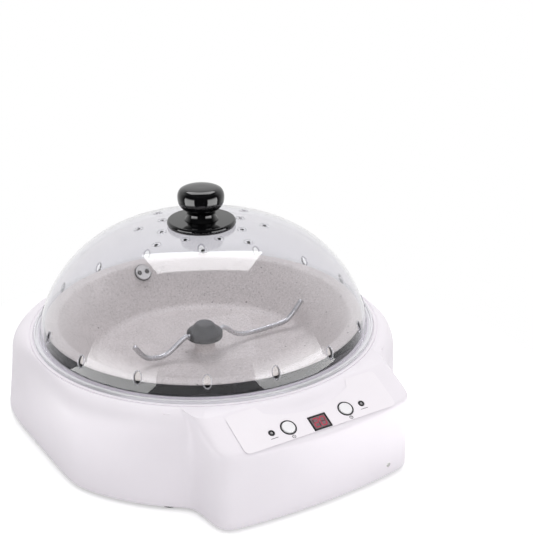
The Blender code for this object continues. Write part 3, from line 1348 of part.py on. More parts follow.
def build_gland(kit):
    """The bushing that the mains lead comes through, at the rear."""
    outside = REAR_Y + DRAFT + GAP
    at = Matrix.Translation((0, outside, GLAND_Z)) @ Matrix.Rotation(-pi / 2, 4, "X")
    inner_end = -(WALL + DRAFT) - GLAND_FLANGE_T * 1.5
    tip = GLAND_FLANGE_T + GLAND_TIP_L
    profile = [(GLAND_BORE_R, tip), (GLAND_TIP_R, tip), (GLAND_R, GLAND_FLANGE_T * 1.6),
               (GLAND_R, GLAND_FLANGE_T), (GLAND_FLANGE_R - GAP * 2, GLAND_FLANGE_T),
               (GLAND_FLANGE_R, GLAND_FLANGE_T - GAP * 2), (GLAND_FLANGE_R, 0), (GLAND_R, 0),
               (GLAND_R, inner_end), (GLAND_BORE_R, inner_end)]
    turn(kit.place("cord_gland", profile_mesh("cord_gland", profile, True), part_black(), at), SMALL_STEPS)


def main():
    clear_scene()
    kit = Builder()
    build_housing(kit)
    build_controls(kit)
    build_pan(kit)
    build_drive(kit)
    build_heater(kit)
    build_motor(kit)
    build_base(kit)
    build_lid(kit)
    bpy.context.view_layer.update()


main()
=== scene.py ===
"""Home coffee bean roaster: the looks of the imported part, piece by piece, in metres."""

from __future__ import annotations

import logging
from dataclasses import dataclass, field
from enum import Enum
from functools import lru_cache
from math import atan2, cos, exp, hypot, log, pi, radians, sin, sqrt, tan
from typing import Any, Callable, Iterable, Mapping, Optional, Sequence

import bmesh
import bpy
from mathutils import Matrix, Vector


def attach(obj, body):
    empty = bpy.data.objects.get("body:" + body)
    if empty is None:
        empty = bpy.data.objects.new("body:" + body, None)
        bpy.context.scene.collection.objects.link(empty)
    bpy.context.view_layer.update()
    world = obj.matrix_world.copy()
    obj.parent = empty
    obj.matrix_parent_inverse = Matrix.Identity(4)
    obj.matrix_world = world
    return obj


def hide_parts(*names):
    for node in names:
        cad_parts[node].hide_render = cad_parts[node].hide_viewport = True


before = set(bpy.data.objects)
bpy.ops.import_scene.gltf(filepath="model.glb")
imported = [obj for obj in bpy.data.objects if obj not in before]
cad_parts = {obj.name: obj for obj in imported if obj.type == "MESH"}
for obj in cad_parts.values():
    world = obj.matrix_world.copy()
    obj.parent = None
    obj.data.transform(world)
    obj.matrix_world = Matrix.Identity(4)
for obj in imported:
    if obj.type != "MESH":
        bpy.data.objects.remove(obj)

LOG = logging.getLogger("roaster")
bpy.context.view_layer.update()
AXIS_Y = 0.00735  # the pan's axis stands this far behind the middle of the footprint
GAP = 0.0003  # the clearance between neighbouring pieces
CREASE = 32.0  # edges that turn by more than this many degrees stay sharp
VIEW_AZIMUTH = radians(28.7)  # the camera stands this far round from the control box
Point = tuple[float, float]
Place = tuple[float, float, float]
Colour = tuple[float, float, float]


# Shader maths


class Value:
    """A number that varies over a surface; arithmetic on it adds Math nodes."""

    def __init__(self, shader: Shader, socket: bpy.types.NodeSocket) -> None:
        """Wraps an output socket of a shader's tree."""
        self.shader = shader
        self.socket = socket

    def math(self, operation: str, first: Any, second: Any = 0.0) -> Value:
        """Adds a Math node.

        Args:
            operation: The Math node's operation.
            first: Its first input, a Value or a number.
            second: Its second input.

        Returns:
            The node's result.
        """
        made = self.shader.node("ShaderNodeMath", {"operation": operation}, {0: first, 1: second})
        return Value(self.shader, made.outputs[0])

    def __add__(self, other: Any) -> Value:
        """Sum."""
        return self.math("ADD", self, other)

    def __radd__(self, other: Any) -> Value:
        """Sum, from the right."""
        return self.math("ADD", other, self)

    def __sub__(self, other: Any) -> Value:
        """Difference."""
        return self.math("SUBTRACT", self, other)

    def __rsub__(self, other: Any) -> Value:
        """Difference, from the right."""
        return self.math("SUBTRACT", other, self)

    def __mul__(self, other: Any) -> Value:
        """Product."""
        return self.math("MULTIPLY", self, other)

    def __rmul__(self, other: Any) -> Value:
        """Product, from the right."""
        return self.math("MULTIPLY", other, self)

    def __gt__(self, other: Any) -> Value:
        """1 where this is greater, else 0."""
        return self.math("GREATER_THAN", self, other)

    def __lt__(self, other: Any) -> Value:
        """1 where this is less, else 0."""
        return self.math("LESS_THAN", self, other)

    def __or__(self, other: Any) -> Value:
        """The greater of two, so 1 where either is 1."""
        return self.math("MAXIMUM", self, other)

    def within(self, low: float, high: float) -> Value:
        """How far the value has come from low to high, held between 0 and 1.

        Args:
            low: Where the result is 0.
            high: Where the result is 1.

        Returns:
            The share.
        """
        inputs = {"Value": self, "From Min": low, "From Max": high}
        made = self.shader.node("ShaderNodeMapRange", {"clamp": True}, inputs)
        return Value(self.shader, made.outputs["Result"])


class Shader:
    """A node tree of a material or of the world, and the ways to add to it."""

    def __init__(self, owner: Any, kind: str = "Material") -> None:
        """Clears the owner's tree and adds its output.

        Args:
            owner: The material or world.
            kind: "Material" or "World", the sort of output.
        """
        owner.use_nodes = True
        self.tree = owner.node_tree
        self.tree.nodes.clear()
        self.output = self.node(f"ShaderNodeOutput{kind}")

    def node(self, kind: str, settings: Optional[Mapping[str, Any]] = None,
             inputs: Optional[Mapping[Any, Any]] = None) -> bpy.types.Node:
        """Adds one node.

        Args:
            kind: The node's type.
            settings: Its properties, set first.
            inputs: Values or links for its sockets, by name or number.

        Returns:
            The node.
        """
        made = self.tree.nodes.new(kind)
        for name, value in (settings or {}).items():
            setattr(made, name, value)
        for name, value in (inputs or {}).items():
            self.feed(made.inputs[name], value)
        return made

    def feed(self, socket: bpy.types.NodeSocket, value: Any) -> None:
        """Links a socket, or gives it a plain value.

        Args:
            socket: The input socket.
            value: A Value, an output socket, a number or a colour.
        """
        if isinstance(value, Value):
            value = value.socket
        if isinstance(value, bpy.types.NodeSocket):
            self.tree.links.new(value, socket)
        elif socket.type == "RGBA" and len(value) == 3:
            socket.default_value = (*value, 1.0)
        else:
            socket.default_value = value

    def vector(self, operation: str, first: Any, second: Any = (0.0, 0.0, 0.0),
               result: str = "Vector") -> bpy.types.NodeSocket:
        """Adds a Vector Math node.

        Args:
            operation: The node's operation.
            first: Its first vector or link.
            second: Its second vector or link.
            result: The name of the output that is wanted.

        Returns:
            The output.
        """
        made = self.node("ShaderNodeVectorMath", {"operation": operation}, {0: first, 1: second})
        return made.outputs[result]

    def length(self, way: Any) -> Value:
        """How long a vector is."""
        return Value(self, self.vector("LENGTH", way, result="Value"))

    def along(self, way: Any, axis: Place) -> Value:
        """How far a vector reaches along an axis."""
        return Value(self, self.vector("DOT_PRODUCT", way, axis, "Value"))

    def ray(self, kind: str) -> Value:
        """1 for one kind of light ray, such as "Camera", else 0."""
        return Value(self, self.node("ShaderNodeLightPath").outputs[f"Is {kind} Ray"])

    def place(self, stretch: Place = (1.0, 1.0, 1.0)) -> bpy.types.NodeSocket:
        """Where a point is on its piece, in metres, stretched along each axis."""
        return self.vector("MULTIPLY", self.node("ShaderNodeTexCoord").outputs["Object"], stretch)

    def noise(self, size: float, detail: float = 2.0, stretch: Place = (1.0, 1.0, 1.0)) -> Value:
        """Soft noise.

        Args:
            size: The spots' size in metres.
            detail: How many finer layers it has.
            stretch: Above 1 makes the spots narrower along that axis.

        Returns:
            The noise, about 0.5 on average.
        """
        inputs = {"Vector": self.place(stretch), "Scale": 1.0 / size, "Detail": detail}
        return Value(self, self.node("ShaderNodeTexNoise", None, inputs).outputs[0])

    def points(self, size: float, feature: str = "F1") -> bpy.types.Node:
        """A Voronoi node, its points this many metres apart."""
        inputs = {"Vector": self.place(), "Scale": 1.0 / size}
        return self.node("ShaderNodeTexVoronoi", {"feature": feature}, inputs)

    def cells(self, size: float, feature: str = "F1") -> Value:
        """Distance to the nearest of scattered points, in shares of their spacing."""
        return Value(self, self.points(size, feature).outputs[0])

    def cell_tint(self, size: float) -> Value:
        """A number of its own for each cell of scattered points."""
        split = self.node("ShaderNodeSeparateColor", None, {0: self.points(size).outputs["Color"]})
        return Value(self, split.outputs[0])

    def mix(self, share: Any, first: Any, second: Any) -> bpy.types.NodeSocket:
        """A colour between two, from the first at a share of 0 to the second at 1."""
        return self.node("ShaderNodeMix", {"data_type": "RGBA"}, {0: share, 6: first, 7: second}).outputs[2]

    def bump(self, height: Value, depth: float, strength: float = 1.0,
             under: Optional[bpy.types.NodeSocket] = None) -> bpy.types.NodeSocket:
        """A normal from a height.

        Args:
            height: 0 to 1.
            depth: What a height of 1 stands for, in metres.
            strength: How much of it shows.
            under: A normal that this one is laid over.

        Returns:
            The normal.
        """
        inputs = {"Height": height, "Distance": depth, "Strength": strength}
        if under is not None:
            inputs["Normal"] = under
        return self.node("ShaderNodeBump", None, inputs).outputs[0]

    def surface(self, kind: str, **inputs: Any) -> bpy.types.NodeSocket:
        """A shader node's result; spaces in socket names are written as underscores."""
        named = {name.replace("_", " "): value for name, value in inputs.items()}
        return self.node(f"ShaderNode{kind}", None, named).outputs[0]

    def blend(self, share: Value, first: Any, second: Any) -> bpy.types.NodeSocket:
        """A mix of two shaders, from the first at a share of 0 to the second at 1."""
        return self.node("ShaderNodeMixShader", None, {0: share, 1: first, 2: second}).outputs[0]

    def finish(self, surface: bpy.types.NodeSocket) -> None:
        """Gives the surface to the output."""
        self.feed(self.output.inputs["Surface"], surface)

    def paint(self, **inputs: Any) -> None:
        """Finishes the tree with one Principled shader."""
        self.finish(self.surface("BsdfPrincipled", **inputs))


# Finishes


@dataclass(frozen=True)
class Finish:
    """A finish by name; each kind of finish draws its own nodes."""

    name: str

    def draw(self, shader: Shader) -> None:
        """Draws the nodes in a shader's tree.

        Args:
            shader: The tree to draw in.
        """
        raise NotImplementedError


@lru_cache(maxsize=None)
def material(finish: Finish) -> bpy.types.Material:
    """The material of a finish, made once.

    Args:
        finish: The finish.

    Returns:
        The material.
    """
    made = bpy.data.materials.new(finish.name)
    finish.draw(Shader(made))
    return made


def shade(colour: Colour, level: float) -> Colour:
    """A colour made lighter or darker."""
    return tuple(min(part * level, 1.0) for part in colour)


@dataclass(frozen=True)
class MouldedPlastic(Finish):
    """Injection-moulded plastic with a fine even texture and faint handling marks."""

    colour: Colour = (0.80, 0.80, 0.80)
    roughness: float = 0.36
    texture: float = 0.00035
    depth: float = 0.000012
    shine: float = 0.5

    def draw(self, shader: Shader) -> None:
        """Draws a mottled ground, a fine grain, rubbed patches and slow waves.

        Args:
            shader: The tree to draw in.
        """
        mottle = shader.noise(0.045, 3.0)
        fine = shader.noise(self.texture, 3.0)
        rubbed = shader.noise(0.016, 5.0, (1.0, 1.0, 2.4)).within(0.52, 0.72)
        colour = shader.mix(mottle.within(0.3, 0.7), shade(self.colour, 0.982), shade(self.colour, 1.012))
        waves = shader.bump(shader.noise(0.06, 1.0, (1.0, 1.0, 0.5)), 0.00022, 0.5)
        rough = self.roughness + 0.05 * (mottle - 0.5) - 0.05 * rubbed + 0.03 * (fine - 0.5)
        shader.paint(Base_Color=colour, Roughness=rough, Specular_IOR_Level=self.shine,
                     Normal=shader.bump(fine, self.depth, 1.0, waves))


@dataclass(frozen=True)
class GlossEnamel(Finish):
    """Smooth glossy black with faint wipe marks and specks of dust."""

    colour: Colour = (0.006, 0.006, 0.007)
    roughness: float = 0.06
    shine: float = 0.5

    def draw(self, shader: Shader) -> None:
        """Draws the wipe marks, the dust and a faint ripple.

        Args:
            shader: The tree to draw in.
        """
        wiped = shader.noise(0.012, 4.0, (1.0, 1.0, 3.0)).within(0.45, 0.75)
        dust = shader.cells(0.0016) < (0.10 * shader.noise(0.02))
        shader.paint(Base_Color=shader.mix(dust * 0.10, self.colour, (0.32, 0.31, 0.30)),
                     Roughness=self.roughness + 0.05 * wiped + 0.25 * dust, Specular_IOR_Level=self.shine,
                     Normal=shader.bump(shader.noise(0.009), 0.00003, 0.6))


@dataclass(frozen=True)
class ClearAcrylic(Finish):
    """Clear moulded dome plastic; lamps shine through it, and a faint haze lies on it."""

    tint: Colour = (0.825, 0.820, 0.850)
    haze: float = 0.006
    roughness: float = 0.02
    fog: float = 0.0
    fog_from: float = 0.1265
    fog_edge: float = 0.0008

    def draw(self, shader: Shader) -> None:
        """Draws the clear plastic, the haze on it, and the fog further out than a radius.

        Args:
            shader: The tree to draw in.
        """
        cloud = shader.noise(0.05, 3.0)
        clear = shader.surface("BsdfPrincipled", Base_Color=self.tint, IOR=1.49, Transmission_Weight=1.0,
                               Roughness=self.roughness + 0.03 * cloud.within(0.5, 0.8),
                               Normal=shader.bump(shader.noise(0.03, 1.0), 0.00003, 0.5))
        milk = shader.surface("BsdfDiffuse", Color=(0.90, 0.90, 0.92))
        edge = Value(shader, shader.node("ShaderNodeLayerWeight", None, {"Blend": 0.25}).outputs["Facing"])
        share = self.haze * (0.6 + 0.8 * cloud + 3.0 * edge)
        if self.fog:
            reach = shader.length(shader.place((1.0, 1.0, 0.0)))
            share = share + self.fog * reach.within(self.fog_from, self.fog_from + self.fog_edge)
        passed = shader.surface("BsdfTransparent", Color=(0.93, 0.93, 0.94))
        shader.finish(shader.blend(shader.ray("Shadow") | shader.ray("Diffuse"),
                                   shader.blend(share, clear, milk), passed))


@dataclass(frozen=True)
class SpeckledCoating(Finish):
    """Pale non-stick coating: a fine grain with scattered dark and light specks."""

    colour: Colour = (0.69, 0.638, 0.620)
    roughness: float = 0.42

    def specks(self, shader: Shader, spacing: float, share: float, rarity: float) -> Value:
        """Scattered round specks.

        Args:
            shader: The shader that they are drawn in.
            spacing: The mean distance between places for a speck.
            share: A speck's radius as a share of the spacing.
            rarity: The share of places that are left bare.

        Returns:
            1 inside a speck.
        """
        edge = share * (0.6 + 0.8 * shader.noise(spacing * 0.3, 1.0))
        return (shader.cells(spacing) < edge) * (shader.cell_tint(spacing) > rarity)

    def draw(self, shader: Shader) -> None:
        """Draws the clouded ground, the grain, three sorts of specks and the uneven skin.

        Args:
            shader: The tree to draw in.
        """
        cloud, grain = shader.noise(0.018, 4.0), shader.noise(0.0013, 3.0)
        colour = shader.mix(cloud.within(0.3, 0.7), shade(self.colour, 0.94), shade(self.colour, 1.04))
        colour = shader.mix(grain.within(0.50, 0.66) * 0.42, colour, shade(self.colour, 0.52))
        colour = shader.mix(grain.within(0.46, 0.30) * 0.45, colour, (0.86, 0.84, 0.83))
        for spacing, share, rarity, strength, speck in (
                (0.0026, 0.15, 0.40, 0.80, (0.13, 0.11, 0.105)),
                (0.0042, 0.12, 0.50, 0.70, (0.90, 0.88, 0.87)),
                (0.0100, 0.075, 0.35, 0.85, (0.10, 0.085, 0.08))):
            colour = shader.mix(self.specks(shader, spacing, share, rarity) * strength, colour, speck)
        peel = shader.noise(0.0016)
        shader.paint(Base_Color=colour, Roughness=self.roughness + 0.10 * (cloud - 0.5) + 0.06 * peel,
                     Specular_IOR_Level=0.5, Normal=shader.bump(peel, 0.00004, 0.8))


@dataclass(frozen=True)
class Metal(Finish):
    """Bare or plated metal with fine drawing lines and dulled patches."""

    colour: Colour = (0.60, 0.60, 0.61)
    roughness: float = 0.26
    lines: Place = (1.0, 1.0, 14.0)

    def draw(self, shader: Shader) -> None:
        """Draws the lines and the dull patches.

        Args:
            shader: The tree to draw in.
        """
        drawn = shader.noise(0.0022, 3.0, self.lines)
        dull = shader.noise(0.012, 4.0).within(0.45, 0.75)
        shader.paint(Base_Color=shader.mix(dull, self.colour, shade(self.colour, 0.80)), Metallic=1.0,
                     Roughness=self.roughness + 0.12 * dull + 0.10 * (drawn - 0.5),
                     Normal=shader.bump(drawn, 0.00001, 0.7))


@dataclass(frozen=True)
class SoftRubber(Finish):
    """Matt rubber with a fine skin and a little dust."""

    colour: Colour = (0.022, 0.022, 0.024)
    roughness: float = 0.72

    def draw(self, shader: Shader) -> None:
        """Draws the skin and the dust.

        Args:
            shader: The tree to draw in.
        """
        skin_grain = shader.noise(0.0007, 4.0)
        dust = shader.noise(0.009, 4.0).within(0.55, 0.80)
        shader.paint(Base_Color=shader.mix(dust * 0.35, self.colour, (0.20, 0.19, 0.18)),
                     Roughness=self.roughness + 0.12 * dust + 0.08 * (skin_grain - 0.5),
                     Normal=shader.bump(skin_grain, 0.00005, 0.8))


@dataclass(frozen=True)
class CircuitBoard(Finish):
    """Green lacquered board with copper tracks under the lacquer."""

    colour: Colour = (0.015, 0.10, 0.045)
    pad_spacing: float = 0.0050
    track_spacing: float = 0.0065

    def draw(self, shader: Shader) -> None:
        """Draws the tracks and the tinned pads.

        Args:
            shader: The tree to draw in.
        """
        tracks = shader.cells(self.track_spacing, "DISTANCE_TO_EDGE") < 0.07
        pads = (shader.cells(self.pad_spacing) < 0.16) * (shader.cell_tint(self.pad_spacing) > 0.5)
        colour = shader.mix(tracks, self.colour, shade(self.colour, 2.1))
        shader.paint(Base_Color=shader.mix(pads, colour, (0.62, 0.60, 0.55)), Metallic=pads * 0.9,
                     Roughness=0.30 + 0.12 * shader.noise(0.004, 3.0),
                     Normal=shader.bump(tracks + pads, 0.00004, 0.8))


@dataclass(frozen=True)
class PrintedInk(Finish):
    """Screen-printed ink, a little uneven."""

    colour: Colour = (0.05, 0.05, 0.055)
    roughness: float = 0.5

    def draw(self, shader: Shader) -> None:
        """Draws the uneven ink.

        Args:
            shader: The tree to draw in.
        """
        patchy = shader.noise(0.0008, 4.0)
        shader.paint(Base_Color=shader.mix(patchy.within(0.4, 0.75), self.colour, shade(self.colour, 1.9)),
                     Roughness=self.roughness + 0.1 * patchy, Normal=shader.bump(patchy, 0.00001, 0.6))


@dataclass(frozen=True)
class LampPlastic(Finish):
    """Tinted plastic of a lamp or of a lit digit: clear depths under a polished face."""

    colour: Colour = (0.30, 0.05, 0.06)
    glow: float = 0.0
    roughness: float = 0.14

    def draw(self, shader: Shader) -> None:
        """Draws the clouded depths and the polished face.

        Args:
            shader: The tree to draw in.
        """
        depth = shader.noise(0.0010, 3.0)
        colour = shader.mix(depth.within(0.3, 0.7), shade(self.colour, 0.8), shade(self.colour, 1.2))
        shader.paint(Base_Color=colour, Roughness=self.roughness + 0.08 * depth, Emission_Color=colour,
                     Emission_Strength=self.glow, Coat_Weight=0.5, Normal=shader.bump(depth, 0.00001, 0.5))


@dataclass(frozen=True)
class MirroredStudio:
    """What glossy surfaces show of the studio: white behind, dark in front, a bright card at each side."""

    back: float = 1.05
    front: float = 0.03
    back_span: Point = (-0.05, 0.50)
    card: float = 6.0
    card_from: float = radians(32.0)
    card_to: float = radians(84.0)
    card_fade: Point = (0.06, 0.34)
    ceiling: float = 0.10
    ceiling_span: Point = (0.55, 0.80)

    def level(self, shader: Shader, way: Any, rise: Optional[Value] = None) -> Value:
        """The brightness in one direction.

        Args:
            shader: The shader that it is drawn in.
            way: The direction, or the place seen from the pan's axis.
            rise: The sine of the direction's elevation; None for the floor, which has no ceiling above it.

        Returns:
            The brightness, where 1 is white.
        """
        flat = shader.vector("NORMALIZE", shader.vector("MULTIPLY", way, (1.0, 1.0, 0.0)))
        ahead = shader.along(flat, (-sin(VIEW_AZIMUTH), -cos(VIEW_AZIMUTH), 0.0))
        side = shader.along(flat, (cos(VIEW_AZIMUTH), -sin(VIEW_AZIMUTH), 0.0))
        angle = ahead.math("ARCTAN2", side.math("ABSOLUTE", side), ahead)
        cards = self.card * ((angle > self.card_from) * (angle < self.card_to))
        plain = self.front + (self.back - self.front) * (0.0 - ahead).within(*self.back_span)
        if rise is None:
            return plain + cards
        above = rise.within(*self.ceiling_span)
        plain = plain * (1.0 - above) + self.ceiling * above
        return plain + cards * (1.0 - rise.within(*self.card_fade))


@dataclass(frozen=True)
class StudioFloor(Finish):
    """Pale seamless floor: it keeps the object's shadow and turns white away from it."""

    colour: Colour = (0.93, 0.93, 0.935)
    lift: float = 0.36
    near: float = 0.17
    far: float = 0.29
    mirror_near: float = 0.19
    mirror_far: float = 0.22

    def draw(self, shader: Shader) -> None:
        """Draws the paper, its white surroundings and, for gloss alone, the mirrored studio.

        Args:
            shader: The tree to draw in.
        """
        paper = shader.surface("BsdfDiffuse", Color=shader.mix(shader.noise(0.4), shade(self.colour, 0.995),
                                                               self.colour))
        away = shader.length(shader.place())
        seen = shader.ray("Camera") | shader.ray("Transmission")
        glow = shader.surface("Emission", Strength=seen * self.lift)
        near = shader.node("ShaderNodeAddShader", None, {0: paper, 1: glow}).outputs[0]
        white = shader.surface("Emission", Strength=1.0)
        shown = shader.blend(away.within(self.near, self.far) * seen, near, white)
        from_axis = shader.vector("SUBTRACT", shader.place(), (0.0, AXIS_Y, 0.0))
        cards = shader.surface("Emission", Strength=MIRRORED.level(shader, from_axis))
        mirrored = shader.ray("Glossy") * (1.0 - seen)
        shader.finish(shader.blend(mirrored * away.within(self.mirror_near, self.mirror_far), shown, cards))


WHITE_BODY = MouldedPlastic("white_moulding", (0.84, 0.80, 0.848), 0.46, shine=0.35)
WHITE_BUTTON = MouldedPlastic("white_button", (0.86, 0.85, 0.87), 0.30, 0.0002, 0.000005)
PANEL_FILM = MouldedPlastic("panel_film", (0.86, 0.82, 0.862), 0.40, 0.00018, 0.000006, 0.35)
PALE_CAP = MouldedPlastic("pale_cap", (0.80, 0.79, 0.785), 0.45, 0.0003, 0.00001)
BLACK_TRIM = MouldedPlastic("black_trim", (0.018, 0.018, 0.02), 0.30, 0.0003, 0.000008)
BLACK_PART = MouldedPlastic("black_moulding", (0.03, 0.03, 0.032), 0.45, 0.0006, 0.00002)
CERAMIC = MouldedPlastic("fuse_ceramic", (0.70, 0.68, 0.64), 0.55, 0.0004, 0.00002)
CLEAR_DOME = ClearAcrylic("clear_dome", fog=0.45)
# The rims' clear finish: its heavy milky haze paints a bright highlight along the vents and pin holes; its
# tint is darker than the dome's.
RIM_HIGHLIGHT_HAZE = ClearAcrylic("clear_rim", (0.66, 0.66, 0.70), 0.14, 0.05)
BLACK_KNOB = GlossEnamel("black_knob", (0.003, 0.003, 0.0035), 0.045)
BLACK_RING = GlossEnamel("black_ring", (0.005, 0.005, 0.0055), 0.08, 0.15)
PALE_COATING = SpeckledCoating("pale_coating")
STEEL = Metal("plain_steel")
DARK_STEEL = Metal("dark_steel", (0.16, 0.155, 0.15), 0.36)
SCREW_STEEL = Metal("screw_steel", (0.60, 0.59, 0.585), 0.40)
BRONZE = Metal("sintered_bronze", (0.45, 0.30, 0.16), 0.40)
RUBBER = SoftRubber("black_rubber")
GREEN_BOARD = CircuitBoard("green_board")
INK = PrintedInk("panel_ink", (0.045, 0.045, 0.05))
DISPLAY_FACE = LampPlastic("display_face", (0.20, 0.145, 0.155), 0.0, 0.30)
LIT_DIGIT = LampPlastic("lit_digit", (0.45, 0.022, 0.06), 0.12, 0.35)
DARK_DIGIT = LampPlastic("dark_digit", (0.13, 0.040, 0.055), 0.0, 0.30)
SMOKY_LAMP = LampPlastic("smoky_lamp", (0.42, 0.41, 0.42), 0.0, 0.10)
MIRRORED = MirroredStudio()
FLOOR = StudioFloor("studio_floor")


# Mesh work


def shift(x: float = 0.0, y: float = 0.0, z: float = 0.0) -> Matrix:
    """A move along the three axes."""
    return Matrix.Translation((x, y, z))


def turn(angle: float, axis: str) -> Matrix:
    """A turn about an axis, in radians."""
    return Matrix.Rotation(angle, 4, axis)


def circle(count: int) -> list[float]:
    """Angles spread evenly round a circle."""
    return [2 * pi * i / count for i in range(count)]


def share_of(value: float, low: float, high: float) -> float:
    """How far a number has come from low to high, held between 0 and 1."""
    return min(max((value - low) / (high - low), 0.0), 1.0)


def placed(name: str, data: Any) -> bpy.types.Object:
    """A new object in the scene, from a mesh, curve, light or camera."""
    made = bpy.data.objects.new(name, data)
    bpy.context.scene.collection.objects.link(made)
    return made


def settled(name: str, piece: bpy.types.Object, *helpers: bpy.types.Object) -> bpy.types.Mesh:
    """The final mesh of an object, which is then removed.

    Args:
        name: The mesh's name.
        piece: The object, with its modifiers or curve settings.
        helpers: Other objects that it needed, also removed.

    Returns:
        The mesh.
    """
    bpy.context.view_layer.update()
    made = bpy.data.meshes.new_from_object(piece.evaluated_get(bpy.context.evaluated_depsgraph_get()))
    for each in (piece, *helpers):
        bpy.data.objects.remove(each)
    made.name = name
    return made


def smoothed(mesh: bpy.types.Mesh, crease: float) -> bpy.types.Mesh:
    """The same mesh, smooth-shaded between its creases."""
    mesh.shade_smooth()
    mesh.set_sharp_from_angle(angle=radians(crease))
    return mesh


def mesh_of(name: str, fill: Callable[[bmesh.types.BMesh], None], crease: float = CREASE) -> bpy.types.Mesh:
    """A smooth-shaded mesh from a function that fills a bmesh.

    Args:
        name: The mesh's name.
        fill: Adds the points and faces.
        crease: Edges that turn by more than this many degrees stay sharp.

    Returns:
        The mesh.
    """
    work = bmesh.new()
    fill(work)
    bmesh.ops.recalc_face_normals(work, faces=work.faces)
    mesh = bpy.data.meshes.new(name)
    work.to_mesh(mesh)
    work.free()
    return smoothed(mesh, crease)


def rounded(corners: Sequence[tuple[float, ...]], steps: int = 5, closed: bool = False) -> list[Point]:
    """A line of points with its corners rounded.

    Args:
        corners: (x, y) or (x, y, radius) for each corner.
        steps: How many points a rounding has.
        closed: True if the last corner joins the first.

    Returns:
        The points.
    """
    points: list[Point] = []
    count = len(corners)
    for i, corner in enumerate(corners):
        here = Vector(corner[:2])
        turn_radius = corner[2] if len(corner) > 2 else 0.0
        if turn_radius <= 0.0 or (not closed and i in (0, count - 1)):
            points.append(tuple(here))
            continue
        back = Vector(corners[i - 1][:2]) - here
        ahead = Vector(corners[(i + 1) % count][:2]) - here
        reach = min(turn_radius, back.length * 0.49, ahead.length * 0.49)
        start, stop = here + back.normalized() * reach, here + ahead.normalized() * reach
        for step in range(steps + 1):
            t = step / steps
            points.append(tuple(start.lerp(here, t).lerp(here.lerp(stop, t), t)))
    return points


def flowing(marks: Sequence[Vector], steps: int) -> list[Vector]:
    """A smooth line through some points.

    Args:
        marks: The points.
        steps: How many parts each stretch between two of them has.

    Returns:
        The line's points, with both ends.
    """
    ends = [2 * marks[0] - marks[1], *marks, 2 * marks[-1] - marks[-2]]
    line = []
    for a, b, c, d in zip(ends, ends[1:], ends[2:], ends[3:]):
        for t in [step / steps for step in range(steps)]:
            line.append(0.5 * (2 * b + (c - a) * t + (2 * a - 5 * b + 4 * c - d) * t ** 2
                               + (3 * b - a - 3 * c + d) * t ** 3))
    return [*line, marks[-1]]


def arc(centre: Point, radius: float, start: float, stop: float, count: int) -> list[Point]:
    """Points on an arc, its angles in degrees."""
    turns = [radians(start + (stop - start) * i / (count - 1)) for i in range(count)]
    return [(centre[0] + radius * cos(a), centre[1] + radius * sin(a)) for a in turns]


def skin(name: str, rings: Sequence[Sequence[Place]], closed: bool = True,
         crease: float = CREASE) -> bpy.types.Mesh:
    """Faces between rings of equal count.

    Args:
        name: The mesh's name.
        rings: The rings, each a closed loop of points.
        closed: True if the last ring joins the first.
        crease: Edges that turn by more than this many degrees stay sharp.

    Returns:
        The mesh.
    """

    def fill(work: bmesh.types.BMesh) -> None:
        """Adds the rings' points and the faces between them.

        Args:
            work: The mesh to fill.
        """
        rows = [[work.verts.new(p) for p in one] for one in rings]
        count = len(rows[0])
        for i in range(len(rows) - (0 if closed else 1)):
            row, above = rows[i], rows[(i + 1) % len(rows)]
            for j in range(count):
                k = (j + 1) % count
                work.faces.new((row[j], row[k], above[k], above[j]))
        if not closed:
            work.faces.new(rows[0])
            work.faces.new(rows[-1])

    return mesh_of(name, fill, crease)


def turned(name: str, profile: Sequence[Point], steps: int = 96, closed: bool = True,
           crease: float = CREASE) -> bpy.types.Mesh:
    """A profile of (radius, height) points spun about Z.

    Args:
        name: The mesh's name.
        profile: The points; a radius of 0 is a pole.
        steps: How many sides it has.
        closed: True if the last point joins the first.
        crease: Edges that turn by more than this many degrees stay sharp.

    Returns:
        The mesh.
    """

    def fill(work: bmesh.types.BMesh) -> None:
        """Adds the rings, with one point for each pole.

        Args:
            work: The mesh to fill.
        """
        rows = []
        for radius, height in profile:
            if radius < 1e-7:
                rows.append([work.verts.new((0, 0, height))] * steps)
                continue
            rows.append([work.verts.new((radius * cos(a), radius * sin(a), height)) for a in circle(steps)])
        for i in range(len(rows) - (0 if closed else 1)):
            row, above = rows[i], rows[(i + 1) % len(rows)]
            for j in range(steps):
                k = (j + 1) % steps
                corners = list(dict.fromkeys((row[j], row[k], above[k], above[j])))
                if len(corners) > 2:
                    work.faces.new(corners)

    return mesh_of(name, fill, crease)


def tube(name: str, path: Sequence[Place], radius: float, sides: int = 20) -> bpy.types.Mesh:
    """A round rod along a path, with rounded ends.

    Args:
        name: The mesh's name.
        path: Points along its middle.
        radius: The rod's radius.
        sides: How many sides it has.

    Returns:
        The mesh.
    """
    points = [Vector(p) for p in path]
    ways = [(points[min(i + 1, len(points) - 1)] - points[max(i - 1, 0)]).normalized()
            for i in range(len(points))]
    side = ways[0].orthogonal().normalized()
    rings: list[list[Place]] = []

    def add(at: int, lean: float = 0.0) -> None:
        """Adds one ring round a point of the path, or beyond an end by a lean in degrees."""
        way, size = ways[at], radius * cos(radians(lean))
        centre, other = points[at] + way * radius * sin(radians(lean)) * 0.6, way.cross(side)
        rings.append([tuple(centre + (side * cos(a) + other * sin(a)) * size) for a in circle(sides)])

    for lean in (72.0, 45.0, 20.0):
        add(0, -lean)
    for i, way in enumerate(ways):
        side = (side - way * side.dot(way)).normalized()
        add(i)
    for lean in (20.0, 45.0, 72.0):
        add(-1, lean)
    return skin(name, rings, False)


